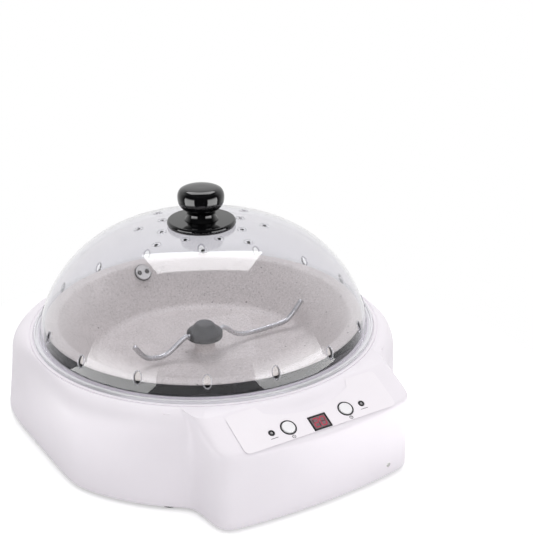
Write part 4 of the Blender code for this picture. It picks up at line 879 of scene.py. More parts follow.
def slab(name: str, outline: Sequence[Point], low: float, high: float, holes: Sequence[Sequence[Point]] = (),
         edge: float = 0.0) -> bpy.types.Mesh:
    """A flat plate with holes, between two heights.

    Args:
        name: The mesh's name.
        outline: Its outer edge, anticlockwise.
        low: Its lower face.
        high: Its upper face.
        holes: The holes' edges.
        edge: The bevel at its upper edge.

    Returns:
        The mesh.
    """
    curve = bpy.data.curves.new(name + "_outline", "CURVE")
    curve.dimensions = "2D"
    curve.fill_mode = "BOTH"
    curve.extrude = (high - low) / 2 - edge
    curve.bevel_depth = edge
    curve.bevel_resolution = 2
    curve.offset = -edge
    for loop in (outline, *holes):
        spline = curve.splines.new("POLY")
        spline.points.add(len(loop) - 1)
        for point, (x, y) in zip(spline.points, loop):
            point.co = (x, y, 0, 1)
        spline.use_cyclic_u = True
    mesh = moved(settled(name, placed(name + "_carrier", curve)), shift(z=(low + high) / 2))
    bpy.data.curves.remove(curve)

    def fill(work: bmesh.types.BMesh) -> None:
        """Takes the curve's faces and welds them."""
        work.from_mesh(mesh)
        bmesh.ops.remove_doubles(work, verts=work.verts, dist=1e-6)

    return mesh_of(name, fill)


def joined(name: str, meshes: Iterable[bpy.types.Mesh]) -> bpy.types.Mesh:
    """Several meshes as one.

    Args:
        name: The new mesh's name.
        meshes: The meshes, which are then removed.

    Returns:
        The mesh.
    """
    parts = list(meshes)

    def fill(work: bmesh.types.BMesh) -> None:
        """Adds each mesh in turn."""
        for part in parts:
            work.from_mesh(part)

    made = mesh_of(name, fill)
    for part in parts:
        bpy.data.meshes.remove(part)
    return made


def moved(mesh: bpy.types.Mesh, matrix: Matrix) -> bpy.types.Mesh:
    """The same mesh, put elsewhere."""
    mesh.transform(matrix)
    return mesh


def carved(mesh: bpy.types.Mesh, cutters: Iterable[bpy.types.Mesh], crease: float = CREASE,
           operation: str = "DIFFERENCE") -> bpy.types.Mesh:
    """A mesh with others cut from it or joined to it.

    Args:
        mesh: The mesh to cut.
        cutters: What is cut away, or added.
        crease: Edges that turn by more than this many degrees stay sharp.
        operation: "DIFFERENCE" or "UNION".

    Returns:
        The cut mesh.
    """
    piece = placed(mesh.name + "_blank", mesh)
    tool = placed(mesh.name + "_tool", joined(mesh.name + "_tool", cutters))
    change = piece.modifiers.new("carve", "BOOLEAN")
    change.object = tool
    change.operation = operation
    change.solver = "EXACT"
    change.use_self = operation == "UNION"
    return smoothed(settled(mesh.name, piece, tool), crease)


def post(name: str, radius: float, low: float, high: float, matrix: Matrix = Matrix.Identity(4),
         steps: int = 48) -> bpy.types.Mesh:
    """A plain round post on its own axis, put at a matrix."""
    return moved(turned(name, [(0, low), (radius, low), (radius, high), (0, high)], steps, False), matrix)


def prism(name: str, outline: Sequence[Point], low: float, high: float) -> bpy.types.Mesh:
    """A plain block with an outline, between two heights."""
    return skin(name, [[(x, y, z) for x, y in outline] for z in (low, high)], False)


def rectangle(half_x: float, half_y: float, x: float = 0.0, y: float = 0.0) -> list[Point]:
    """A rectangle's corners, anticlockwise."""
    return [(x - half_x, y - half_y), (x + half_x, y - half_y),
            (x + half_x, y + half_y), (x - half_x, y + half_y)]


def slotted_head(radius: float, height: float, lean: float = 0.4) -> bpy.types.Mesh:
    """A domed screw head with a cross recess.

    Args:
        radius: Its radius.
        height: Its height.
        lean: How far the recess is turned, in radians.

    Returns:
        The head, standing on z = 0.
    """
    head = rounded([(0, height), (radius * 0.6, height * 0.94, radius * 0.3),
                    (radius, height * 0.45, radius * 0.2), (radius, 0), (0, 0)], 5)
    made = turned("screw_head", head, 40, False)
    for angle in (lean, lean + pi / 2):
        bar = prism("recess_bar", rectangle(radius * 0.62, radius * 0.16), height * 0.4, height * 2)
        made = carved(made, [moved(bar, turn(angle, "Z"))])
    return made


# Assemblies


@dataclass
class Assembly:
    """A group of pieces; build() makes them and dress() finishes the nodes that are kept."""

    made: list[bpy.types.Object] = field(default_factory=list, init=False)

    def keep(self, name: str, mesh: bpy.types.Mesh, finish: Finish, body: str, slot: str,
             stands_for: Sequence[str] = (), matrix: Matrix = Matrix.Identity(4)) -> bpy.types.Object:
        """Adds a piece to the scene.

        Args:
            name: The piece's name.
            mesh: Its mesh, in the frame of the pan's axis.
            finish: Its finish.
            body: The body that it moves with.
            slot: The record's material slot; not used.
            stands_for: The part's nodes that it replaces.
            matrix: Where it is in the frame of the pan's axis.

        Returns:
            The piece.
        """
        mesh.materials.clear()
        mesh.materials.append(material(finish))
        piece = placed(name, mesh)
        piece.matrix_world = shift(y=AXIS_Y) @ matrix
        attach(piece, body)
        if stands_for:
            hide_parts(*stands_for)
        self.made.append(piece)
        return piece

    def finish_nodes(self, finishes: Mapping[str, Finish]) -> None:
        """Gives finishes to nodes of the part that are shown as they are.

        Args:
            finishes: The finish of each node, by the node's name.
        """
        for name, finish in finishes.items():
            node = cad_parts[name]
            for place in node.material_slots:
                place.material = material(finish)
            self.made.append(node)

    def build(self) -> None:
        """Makes the pieces."""

    def dress(self) -> None:
        """Finishes the nodes that are kept."""

    def report(self) -> None:
        """Logs each piece."""
        for piece in self.made:
            LOG.info("%s: %s, %d faces", type(self).__name__, piece.name, len(piece.data.polygons))


@dataclass
class Housing(Assembly):
    """The white moulded shell: round body, control box and deck."""

    foot_z: float = 0.0035
    deck_z: float = 0.0730
    wall: float = 0.0025
    side_x: float = 0.1370
    rear_y: float = 0.1360
    front_arc_r: float = 0.1465
    draft: float = 0.0015
    rear_blend_top: float = 0.062
    rear_blend_base: float = 0.050
    arc_blend: float = 0.002
    shoulder_z: float = 0.0560
    crest_r: float = 0.1330
    crest_rise: float = 0.0012
    crest_inner_r: float = 0.1307
    rim_outer_r: float = 0.1229
    rim_inner_r: float = 0.1173
    rim_rise: float = 0.0022
    collar_depth: float = 0.0070
    collar_wall: float = 0.0025
    box_half_x: float = 0.0800
    box_front_y: float = 0.1665
    box_bow: float = 0.0070
    box_corner_blend: float = 0.0085
    box_join_blend: float = 0.0040
    crease_blend: float = 0.0009
    panel_edge_blend: float = 0.0020
    panel_tilt: float = radians(26.0)
    row_y: float = 0.1543
    row_z: float = 0.0629
    groove_w: float = 0.0005
    groove_depth: float = 0.0009
    screw_x: float = 0.0560
    screw_z: float = 0.0120
    recess_r: float = 0.0042
    recess_depth: float = 0.0014
    screw_hole_r: float = 0.0018
    gland_hole_r: float = 0.0061
    gland_z: float = 0.0220
    post_r: float = 0.0045
    post_low: float = 0.0071
    pilot_r: float = 0.0019
    pilot_top: float = 0.0163
    foot_at: float = 0.1363
    front_foot_angle: float = radians(-50.1)
    rear_foot_angle: float = radians(45.0)
    crease: float = 28.0

    @property
    def crest_z(self) -> float:
        """The top of the ring round the dome's flange."""
        return self.deck_z + self.crest_rise

    def foot_places(self) -> dict[str, Point]:
        """Finds where the four feet are.

        Returns:
            Their middles, by name.
        """
        places = {}
        for end, angle in (("front", self.front_foot_angle), ("rear", self.rear_foot_angle)):
            for word, side in (("left", -1), ("right", 1)):
                places[f"{end}_{word}"] = (side * self.foot_at * cos(angle), self.foot_at * sin(angle))
        return places

    def panel(self, across: float = 0.0, down: float = 0.0, out: float = 0.0) -> Matrix:
        """The sloping panel's frame: X across, Y up the slope, Z out of it."""
        return shift(0, -self.row_y, self.row_z) @ turn(self.panel_tilt, "X") @ shift(across, -down, out)

    def panel_foot_z(self, inset: float = 0.0) -> float:
        """Where the panel's slope meets the control box's front."""
        drop = self.box_front_y - inset - self.row_y
        return self.row_z - inset / cos(self.panel_tilt) - drop * tan(self.panel_tilt)

    @staticmethod
    def soft_min(first: float, second: float, blend: float) -> float:
        """The lesser of two, with a rounded change from one to the other."""
        low = min(first, second)
        return low - blend * log(exp((low - first) / blend) + exp((low - second) / blend))

    def body_radius(self, angle: float, height: float, inset: float) -> float:
        """The round body with its straight sides and squarer rear corners.

        Args:
            angle: The angle round the axis.
            height: The height above the table.
            inset: How far inside the outer face.

        Returns:
            Its radius there.
        """
        share = share_of(height, self.foot_z, self.shoulder_z)
        draft = self.draft * (1 - share)
        side = (self.side_x + draft - inset) / max(abs(cos(angle)), 1e-6)
        if sin(angle) > 0:
            rear = (self.rear_y + draft - inset) / max(sin(angle), 1e-6)
            blend = self.rear_blend_base + (self.rear_blend_top - self.rear_blend_base) * share
            wall = self.soft_min(side, rear, blend)
        else:
            wall = self.soft_min(side, self.front_arc_r + draft - inset, self.arc_blend)
        if height <= self.shoulder_z:
            return wall
        top = self.crest_z if inset == 0 else self.deck_z - inset
        crest = self.crest_r if inset == 0 else self.crest_inner_r
        rise = min((height - self.shoulder_z) / (top - self.shoulder_z), 1.0)
        return crest + (wall - crest) * sqrt(1 - rise ** 2)

    def box_radius(self, angle: float, height: float, inset: float) -> float:
        """The control box: two sides, a bowed front and the panel on top.

        Args:
            angle: The angle round the axis.
            height: The height above the table.
            inset: How far inside the outer face.

        Returns:
            Its radius there, 0 behind the axis.
        """
        forward, across = -sin(angle), abs(cos(angle))
        if forward <= 1e-6:
            return 0.0
        side = (self.box_half_x - inset) / max(across, 1e-6)
        front = self.box_front_y - inset
        if across < 1e-4:
            bowed = front / forward
        else:
            bend = self.box_bow / self.box_half_x ** 2 * across ** 2
            bowed = (-forward + sqrt(forward ** 2 + 4 * bend * front)) / (2 * bend)
        level = height + inset / cos(self.panel_tilt) - self.row_z
        panel = (self.row_y - level / tan(self.panel_tilt)) / forward
        face = self.soft_min(bowed, max(panel, 0.0), self.panel_edge_blend)
        return self.soft_min(side, face, self.box_corner_blend)

    def radius(self, angle: float, height: float, inset: float = 0.0) -> float:
        """Body and control box together.

        Args:
            angle: The angle round the axis.
            height: The height above the table.
            inset: How far inside the outer face.

        Returns:
            The shell's radius there.
        """
        share = share_of(height, self.panel_foot_z() - self.box_corner_blend, self.row_z)
        blend = self.box_join_blend + (self.crease_blend - self.box_join_blend) * share
        body, box = self.body_radius(angle, height, inset), self.box_radius(angle, height, inset)
        return -self.soft_min(-body, -box, blend)

    def angles(self, height: float, inset: float = 0.0) -> list[float]:
        """Angles round the shell, closest together at the control box's corners.

        Args:
            height: The height above the table.
            inset: How far inside the outer face.

        Returns:
            The angles, from the front round to the right.
        """
        front = self.box_front_y - self.box_bow - inset
        level = height + inset / cos(self.panel_tilt) - self.row_z
        panel = self.row_y - level / tan(self.panel_tilt)
        corner = atan2(self.box_half_x - inset, min(front, panel))
        near, far = corner * 0.72, corner * 1.42
        spans = ((0.0, near, 12), (near, far, 52), (far, pi * 0.53, 22), (pi * 0.53, pi * 0.92, 36),
                 (pi * 0.92, pi, 5))
        half = [a + (b - a) * i / n for a, b, n in spans for i in range(n)] + [pi]
        return [-pi / 2 + a for a in half] + [-pi / 2 - a for a in reversed(half[1:-1])]

    def ring(self, height: float, inset: float = 0.0) -> list[Place]:
        """One level of the shell's wall."""
        turns = self.angles(min(height, self.crest_z), inset)
        reach = [self.radius(a, height, inset) for a in turns]
        return [(r * cos(a), r * sin(a), height) for a, r in zip(turns, reach)]

    def round_ring(self, radius: float, height: float) -> list[Place]:
        """A round level of the deck."""
        return [(radius * cos(a), radius * sin(a), height) for a in self.angles(self.crest_z)]

    def outer_heights(self) -> list[float]:
        """Heights up the outside, close together where the shape turns.

        Returns:
            The heights, from the foot to just under the crest.
        """
        edge, blend = self.panel_foot_z(), self.panel_edge_blend
        low = [self.foot_z + 0.0009 + (edge - 4 * blend - self.foot_z - 0.0009) * i / 8 for i in range(9)]
        turn = [edge + blend * (-4 + 8 * i / 16) for i in range(1, 17)]
        start, stop = edge + 4 * blend, self.shoulder_z
        if stop <= start:
            stop = start + 0.0005
        between = [start + (stop - start) * i / 3 for i in range(1, 4)]
        top = self.crest_z - between[-1]
        rise = [between[-1] + top * sin(radians(76.0) * i / 20) for i in range(1, 21)]
        return low + turn + between + rise

    def shell(self) -> bpy.types.Mesh:
        """The shell's mesh before the holes are cut.

        Returns:
            The mesh.
        """
        outside = [[(x * share, y * share, z) for x, y, z in self.ring(self.foot_z + up)]
                   for share, up in ((0.9962, 0.0), (0.9988, 0.0003))]
        outside += [self.ring(h) for h in self.outer_heights()]
        crest, groove, top = self.crest_r, self.groove_w, self.crest_z
        deck = [self.round_ring(r, z) for r, z in rounded([
            (crest + 0.0001 + groove, top - 0.0004), (crest + groove, top - self.groove_depth, 0.0001),
            (crest - 0.0001, top - self.groove_depth, 0.0001), (crest - 0.0001, top, 0.0004),
            (self.crest_inner_r, top, 0.0004), (self.crest_inner_r, self.deck_z, 0.0003),
            (self.rim_outer_r, self.deck_z, 0.0003),
            (self.rim_outer_r, self.deck_z + self.rim_rise, 0.0005),
            (self.rim_inner_r, self.deck_z + self.rim_rise, 0.0005),
            (self.rim_inner_r, self.deck_z - self.collar_depth, 0.0003),
            (self.rim_inner_r + self.collar_wall, self.deck_z - self.collar_depth, 0.0003),
            (self.rim_inner_r + self.collar_wall, self.deck_z - self.wall)], 3)]
        inside = [self.round_ring(self.crest_inner_r, self.deck_z - self.wall)]
        high, low = (self.deck_z - self.wall) * 0.985, self.panel_foot_z(self.wall)
        inside += [self.ring(high + (low - high) * i / 6, self.wall) for i in range(7)]
        inside += [self.ring(low - self.wall, self.wall), self.ring(self.foot_z, self.wall)]
        return skin("housing_shell", outside + deck + inside, True, self.crease)

    def front_at(self, across: float) -> float:
        """How far in front of the axis the control box's face is."""
        return self.box_front_y - self.box_bow * (across / self.box_half_x) ** 2

    def build(self) -> None:
        """Makes the shell with its holes and posts."""
        screw = shift(self.screw_x, -self.front_at(self.screw_x), self.screw_z) @ turn(pi / 2, "X")
        rear = shift(0, self.rear_y, self.gland_z) @ turn(pi / 2, "X")
        holes = [post("recess", self.recess_r, -self.recess_depth, 0.004, screw),
                 post("screw_way", self.screw_hole_r, -0.0065, 0.004, screw),
                 post("gland_way", self.gland_hole_r, -0.008, 0.008, rear)]
        holes += ControlPanel.openings(self)
        places = [shift(x, y) for x, y in self.foot_places().values()]
        top = self.deck_z - self.wall / 2
        stands = [post("stand", self.post_r, self.post_low, top, at, 32) for at in places]
        holes += [post("pilot", self.pilot_r, self.foot_z, self.pilot_top, at, 24) for at in places]
        shell = carved(self.shell(), stands, self.crease, "UNION")
        self.keep("housing_shell", carved(shell, holes, self.crease), WHITE_BODY, "base", "white_plastic",
                  ["housing"])


@dataclass
class DomeLid(Assembly):
    """The clear dome with its flange, vents and pin holes."""

    radius: float = 0.1256
    rise: float = 0.0790
    out_power: float = 3.0
    up_power: float = 1.5
    wall: float = 0.0018
    hole_r: float = 0.0030
    flange_r: float = 0.1300
    flange_z: float = 0.0733
    flange_t: float = 0.0022
    lip_h: float = 0.0030
    lip_w: float = 0.0016
    vents: int = 16
    vent_w: float = 0.0050
    vent_h: float = 0.0090
    vent_z: float = 0.0870
    vent_turn: float = radians(16.7)
    pin_r: float = 0.0014
    pin_rings: Point = (0.0320, 0.0470)
    pins: int = 8
    rim_w: float = 0.00075
    pin_rim_r: float = 0.0034
    pin_rim_w: float = 0.00060
    rim_proud: float = 0.0001
    crease: float = 40.0

    @property
    def foot_z(self) -> float:
        """The top of the flange, where the dome starts."""
        return self.flange_z + self.flange_t

    def height(self, radius: float, inset: float = 0.0) -> float:
        """The dome's height at a radius."""
        share = min(radius / (self.radius - inset), 1.0)
        return self.foot_z + (self.rise - inset) * (1 - share ** self.out_power) ** (1 / self.up_power)

    def radius_at(self, height: float, inset: float = 0.0) -> float:
        """The dome's radius at a height."""
        share = share_of(height, self.foot_z, self.foot_z + self.rise - inset)
        return (self.radius - inset) * (1 - share ** self.up_power) ** (1 / self.out_power)

    def curve(self, inset: float, count: int) -> list[Point]:
        """The dome's section from the knob's hole down to the foot."""
        shares = [sin(pi / 2 * i / (count - 1)) for i in range(count)]
        reach = [max(self.hole_r, (self.radius - inset) * share) for share in shares]
        return [(r, self.height(r, inset)) for r in reach]

    def vent_frames(self) -> list[Matrix]:
        """Finds each vent's frame: X out of the dome, Z up its wall.

        Returns:
            The frames.
        """
        reach = self.radius_at(self.vent_z)
        low, high = self.radius_at(self.vent_z - 0.002), self.radius_at(self.vent_z + 0.002)
        lean = atan2(low - high, 0.004)
        return [turn(self.vent_turn + a, "Z") @ shift(reach, 0, self.vent_z) @ turn(-lean, "Y")
                for a in circle(self.vents)]

    def oval(self, steps: int, grow: float = 0.0) -> list[Point]:
        """A vent's upright oval as (across, up) points."""
        half_w, half_h = self.vent_w / 2 + grow, self.vent_h / 2 + grow
        return [(half_w * cos(a), half_h * sin(a)) for a in circle(steps)]

    def pin_frames(self) -> list[Matrix]:
        """Finds each pin hole's frame; the inner ring's holes stand between the outer ring's.

        Returns:
            The frames.
        """
        return [turn(self.vent_turn + a + offset, "Z") @ shift(radius, 0, self.height(radius))
                for radius, offset in zip(self.pin_rings, (pi / self.pins, 0.0)) for a in circle(self.pins)]

    def build(self) -> None:
        """Makes the dome and the raised rims of its vents, whose milky haze paints a bright highlight along
        them.
        """
        outer, inner = self.curve(0.0, 64), self.curve(self.wall, 56)
        low, lip = self.flange_z, self.flange_z + self.lip_h
        flange = rounded([
            outer[-1], (self.flange_r - self.lip_w, self.foot_z, 0.0003),
            (self.flange_r - self.lip_w, lip, 0.0005), (self.flange_r, lip, 0.0005),
            (self.flange_r, low, 0.0005),
            (self.radius - self.wall, low, 0.0003), inner[-1]], 4)
        profile = outer + flange[1:-1] + list(reversed(inner))
        blank = turned("lid_dome_clear", profile, 192, True, self.crease)
        vents, pins = self.vent_frames(), self.pin_frames()
        cutters = [skin("vent_cut", [[tuple(way @ Vector((x, y, z))) for y, z in self.oval(28)]
                                     for x in (-0.008, 0.008)], False) for way in vents]
        cutters += [post("pin_cut", self.pin_r, -0.006, 0.006, way, 20) for way in pins]
        self.keep("lid_dome_clear", carved(blank, cutters, self.crease), CLEAR_DOME, "lid", "clear_plastic",
                  ["lid_dome"])
        # The rims take a milky clear finish that paints a bright highlight round each vent and pin hole.
        for name, rims in (("lid_vent_rims", [self.vent_rim(way) for way in vents]),
                           ("lid_pin_rims", [self.pin_rim(way) for way in pins])):
            self.keep(name, joined(name, rims), RIM_HIGHLIGHT_HAZE, "lid", "clear_plastic")

    @staticmethod
    def bead(centre: Vector, side: Vector, up: Vector, size: float) -> list[Place]:
        """One ring of a bead: a little wider than high, round a point of its middle line."""
        return [tuple(centre + (side * cos(a) * 0.5 + up * sin(a) * 0.45) * size) for a in circle(8)]

    def pin_rim(self, way: Matrix) -> bpy.types.Mesh:
        """A thin raised bead round one pin hole, on the dome's skin.

        Args:
            way: The hole's frame.

        Returns:
            The bead.
        """
        rings = []
        for a in circle(28):
            out = Vector((cos(a), sin(a), 0))
            base = way @ (out * self.pin_rim_r)
            base.z = self.height(hypot(base.x, base.y))
            side = (way.to_3x3() @ out).normalized()
            rings.append(self.bead(base, side, Vector((0, 0, 1)), self.pin_rim_w))
        return skin("pin_rim", rings, True)

    def vent_rim(self, way: Matrix) -> bpy.types.Mesh:
        """A thin raised bead round one vent.

        Args:
            way: The vent's frame.

        Returns:
            The bead.
        """
        rings = []
        up = (way.to_3x3() @ Vector((1, 0, 0))).normalized()
        for y, z in self.oval(40, self.rim_w * 0.55):
            out = Vector((0, y / self.vent_w ** 2, z / self.vent_h ** 2)).normalized()
            base = way @ Vector((0, y, z))
            flat = Vector((base.x, base.y)).normalized() * self.radius_at(base.z)
            centre = Vector((flat.x, flat.y, base.z)) + up * self.rim_proud
            rings.append(self.bead(centre, (way.to_3x3() @ out).normalized(), up, self.rim_w))
        return skin("vent_rim", rings, True)


@dataclass
class LidKnob(Assembly):
    """The black knob, the disc under it, and their screw and washer."""

    disc_r: float = 0.0259
    disc_t: float = 0.0042
    radius: float = 0.0175
    height: float = 0.0250
    outline: tuple[Point, ...] = (
        (0.0, 1.0), (0.25, 0.999), (0.46, 0.992), (0.62, 0.980), (0.74, 0.962), (0.885, 0.912), (0.97, 0.82),
        (1.0, 0.71), (0.985, 0.56), (0.93, 0.46), (0.86, 0.39), (0.74, 0.32), (0.635, 0.262), (0.605, 0.20),
        (0.63, 0.12), (0.685, 0.05), (0.73, 0.0))
    bore_r: float = 0.0025
    bore_depth: float = 0.0140

    def disc(self, dome: DomeLid) -> bpy.types.Mesh:
        """The disc with its rounded edge; its underside follows the dome.

        Args:
            dome: The dome that it lies on.

        Returns:
            The disc.
        """
        low = dome.height(self.disc_r) + GAP
        top = low + self.disc_t
        under = [(r * self.disc_r, dome.height(r * self.disc_r) + GAP) for r in (0.97, 0.8, 0.6, 0.4, 0.25)]
        profile = rounded([
            (dome.hole_r, top), (self.disc_r * 0.955, top, 0.0005),
            (self.disc_r * 0.985, top - 0.0007, 0.0008), (self.disc_r, top - 0.0017, 0.0006),
            (self.disc_r, low + 0.0016, 0.0004),
            (self.disc_r * 0.982, low + 0.0012, 0.0002), (self.disc_r * 0.982, low + 0.0004, 0.0002),
            *under, (dome.hole_r, dome.height(dome.hole_r) + GAP)], 6)
        return turned("knob_disc_turned", profile, 128)

    def knob(self, foot: float) -> bpy.types.Mesh:
        """The knob, turned from a smooth line through its outline.

        Args:
            foot: The height of its underside.

        Returns:
            The knob.
        """
        marks = [Vector((r * self.radius, foot + h * self.height)) for r, h in self.outline]
        line = [(max(at.x, 0.0), min(at.y, foot + self.height)) for at in flowing(marks, 5)]
        line += [(self.bore_r, foot), (self.bore_r, foot + self.bore_depth), (0, foot + self.bore_depth)]
        return turned("knob_turned", line, 128, False, 50.0)

    def build(self) -> None:
        """Makes the knob and the disc."""
        dome = DomeLid()
        self.keep("knob_disc_turned", self.disc(dome), BLACK_KNOB, "lid", "black_gloss", ["knob_disc"])
        foot = dome.height(self.disc_r) + GAP * 2 + self.disc_t
        self.keep("knob_turned", self.knob(foot), BLACK_KNOB, "lid", "black_gloss", ["knob"])

    def dress(self) -> None:
        """Finishes the screw and washer under the dome."""
        self.finish_nodes({"knob_screw": STEEL, "knob_washer": STEEL})


@dataclass
class RoastingPan(Assembly):
    """The coated pan, the glossy ring under its lip, and the sensor's cap."""

    lip_r: float = 0.1208
    lip_z: float = 0.0845
    gauge: float = 0.0013
    lip_w: float = 0.0095
    wall_top_r: float = 0.1105
    wall_foot_r: float = 0.0845
    wall_foot_rise: float = 0.0022
    floor_r: float = 0.0780
    floor_z: float = 0.0490
    collar_r: float = 0.0080
    collar_z: float = 0.0585
    bore_r: float = 0.0056
    ring_head_r: float = 0.1206
    ring_foot_r: float = 0.1226
    ring_foot_z: float = 0.0755
    ring_wall: float = 0.0022
    seat_r: float = 0.1164
    seat_w: float = 0.0050
    sensor_r: float = 0.0065
    sensor_t: float = 0.0022
    sensor_at: float = 0.1060
    sensor_lift: float = 0.00055
    screw_r: float = 0.0012
    screw_x: float = 0.0034
    well_w: float = 0.0009
    # The width of the black ring that paints the shade round the sensor cap's foot.
    edge_shade_w: float = 0.0007

    def slope(self) -> Point:
        """Finds the way up the pan's wall.

        Returns:
            It as (out, up), with a length of 1.
        """
        rise = self.lip_z - self.gauge - self.floor_z - self.wall_foot_rise
        run = self.wall_top_r - self.wall_foot_r
        return run / hypot(run, rise), rise / hypot(run, rise)

    def pan(self) -> bpy.types.Mesh:
        """The pan, one gauge thick, with a broad flat lip.

        Returns:
            The pan.
        """
        t, floor, low = self.gauge, self.floor_z, self.lip_z - self.gauge
        out, up = self.slope()
        foot = (self.wall_foot_r, floor + self.wall_foot_rise)
        profile = rounded([
            (self.lip_r, low, 0.0003), (self.wall_top_r + t * 1.4, low, 0.0020),
            (foot[0] + up * t, foot[1] - out * t, 0.0050), (self.floor_r + t, floor - t * 0.85, 0.0030),
            (self.floor_r - t, floor - t, 0.0010), (self.bore_r, floor - t),
            (self.bore_r, self.collar_z, 0.0003), (self.collar_r, self.collar_z, 0.0005),
            (self.collar_r, floor + t, 0.0016),
            (self.collar_r + t, floor, 0.0010), (self.floor_r - t, floor, 0.0010),
            (self.floor_r + t, floor + t * 0.25, 0.0030), (*foot, 0.0060), (self.wall_top_r, low, 0.0028),
            (self.lip_r - self.lip_w + t, self.lip_z - t * 0.1, 0.0016),
            (self.lip_r - t * 0.5, self.lip_z, 0.0009), (self.lip_r, self.lip_z - t * 0.5, 0.0006)], 6, True)
        return turned("pan_coated", profile, 192)

    def ring(self) -> bpy.types.Mesh:
        """The black ring that carries the pan's lip.

        Returns:
            The ring.
        """
        foot, head, wall = self.ring_foot_z, self.lip_z - self.gauge - GAP, self.ring_wall
        profile = rounded([
            (self.ring_head_r, head, 0.0004), (self.ring_foot_r, foot, 0.0006), (self.seat_r, foot, 0.0002),
            (self.seat_r, foot - self.seat_w, 0.0005), (self.seat_r - wall, foot - self.seat_w, 0.0005),
            (self.seat_r - wall, foot + wall * 0.5, 0.0010),
            (self.ring_head_r - wall, head - wall * 0.5, 0.0010),
            (self.ring_head_r - wall, head, 0.0003)], 5, True)
        return turned("pan_ring_gloss", profile, 192)

    def sensor_frame(self) -> Matrix:
        """Finds the sensor cap's frame on the rear of the pan's wall.

        Returns:
            The frame.
        """
        out, up = self.slope()
        rise = (self.sensor_at - self.wall_foot_r) / out * up
        return (shift(0, self.sensor_at, self.floor_z + self.wall_foot_rise + rise)
                @ turn(atan2(up, out), "X") @ shift(z=self.sensor_lift))

    def build(self) -> None:
        """Makes the pan, its ring and the sensor."""
        self.keep("pan_coated", self.pan(), PALE_COATING, "base", "speckled_coating", ["pan"])
        self.keep("pan_ring_gloss", self.ring(), BLACK_RING, "base", "black_gloss", ["pan_ring"])
        self.build_sensor()

    def build_sensor(self) -> None:
        """Makes the cap, a black ring that paints shade round its foot, and the two screws in their wells
        over dark discs of painted shade.
        """
        t, r, frame_at = self.sensor_t, self.sensor_r, self.sensor_frame()
        well_r = self.screw_r + self.well_w
        cap = rounded([(0, t - 0.0004), (r * 0.86, t - 0.0004, 0.0003), (r * 0.89, t, 0.0003), (r, t, 0.0006),
                       (r, 0.0), (0, 0)], 5)
        wells = [post("well", well_r, t - 0.0009, t + 0.001, shift(side * self.screw_x), 32)
                 for side, _ in SIDES]
        self.keep("sensor_cap_turned", carved(turned("sensor_cap_turned", cap, 64, False), wells), PALE_CAP,
                  "base", "steel", ["sensor_cap"], frame_at)
        # A thin black ring round the cap's foot: painted shade along the cap's edge.
        inner, outer = r + 0.0001, r + self.edge_shade_w
        edge_shade = rounded([(inner, 0.0010, 0.0002), (outer, 0.0010, 0.0003),
                        (outer, 0.0), (inner, 0.0)], 4, True)
        self.keep("sensor_seal", turned("sensor_seal", edge_shade, 64), RUBBER, "base", "dark_steel", (), frame_at)
        for side, word in SIDES:
            at = frame_at @ shift(side * self.screw_x, 0, t - 0.0004)
            # A dark disc at the bottom of each screw's well: painted shade deepening the recess round the
            # screw.
            well = post("sensor_well", well_r - 0.0001, -0.0005, -0.0003, steps=32)
            self.keep(f"sensor_well_{word}", well, RUBBER, "base", "dark_steel", (), at)
            self.keep(f"sensor_screw_{word}_slotted", slotted_head(self.screw_r, 0.0008, 0.6 * side),
                      DARK_STEEL, "base", "dark_steel", [f"sensor_screw_{word}"], at)


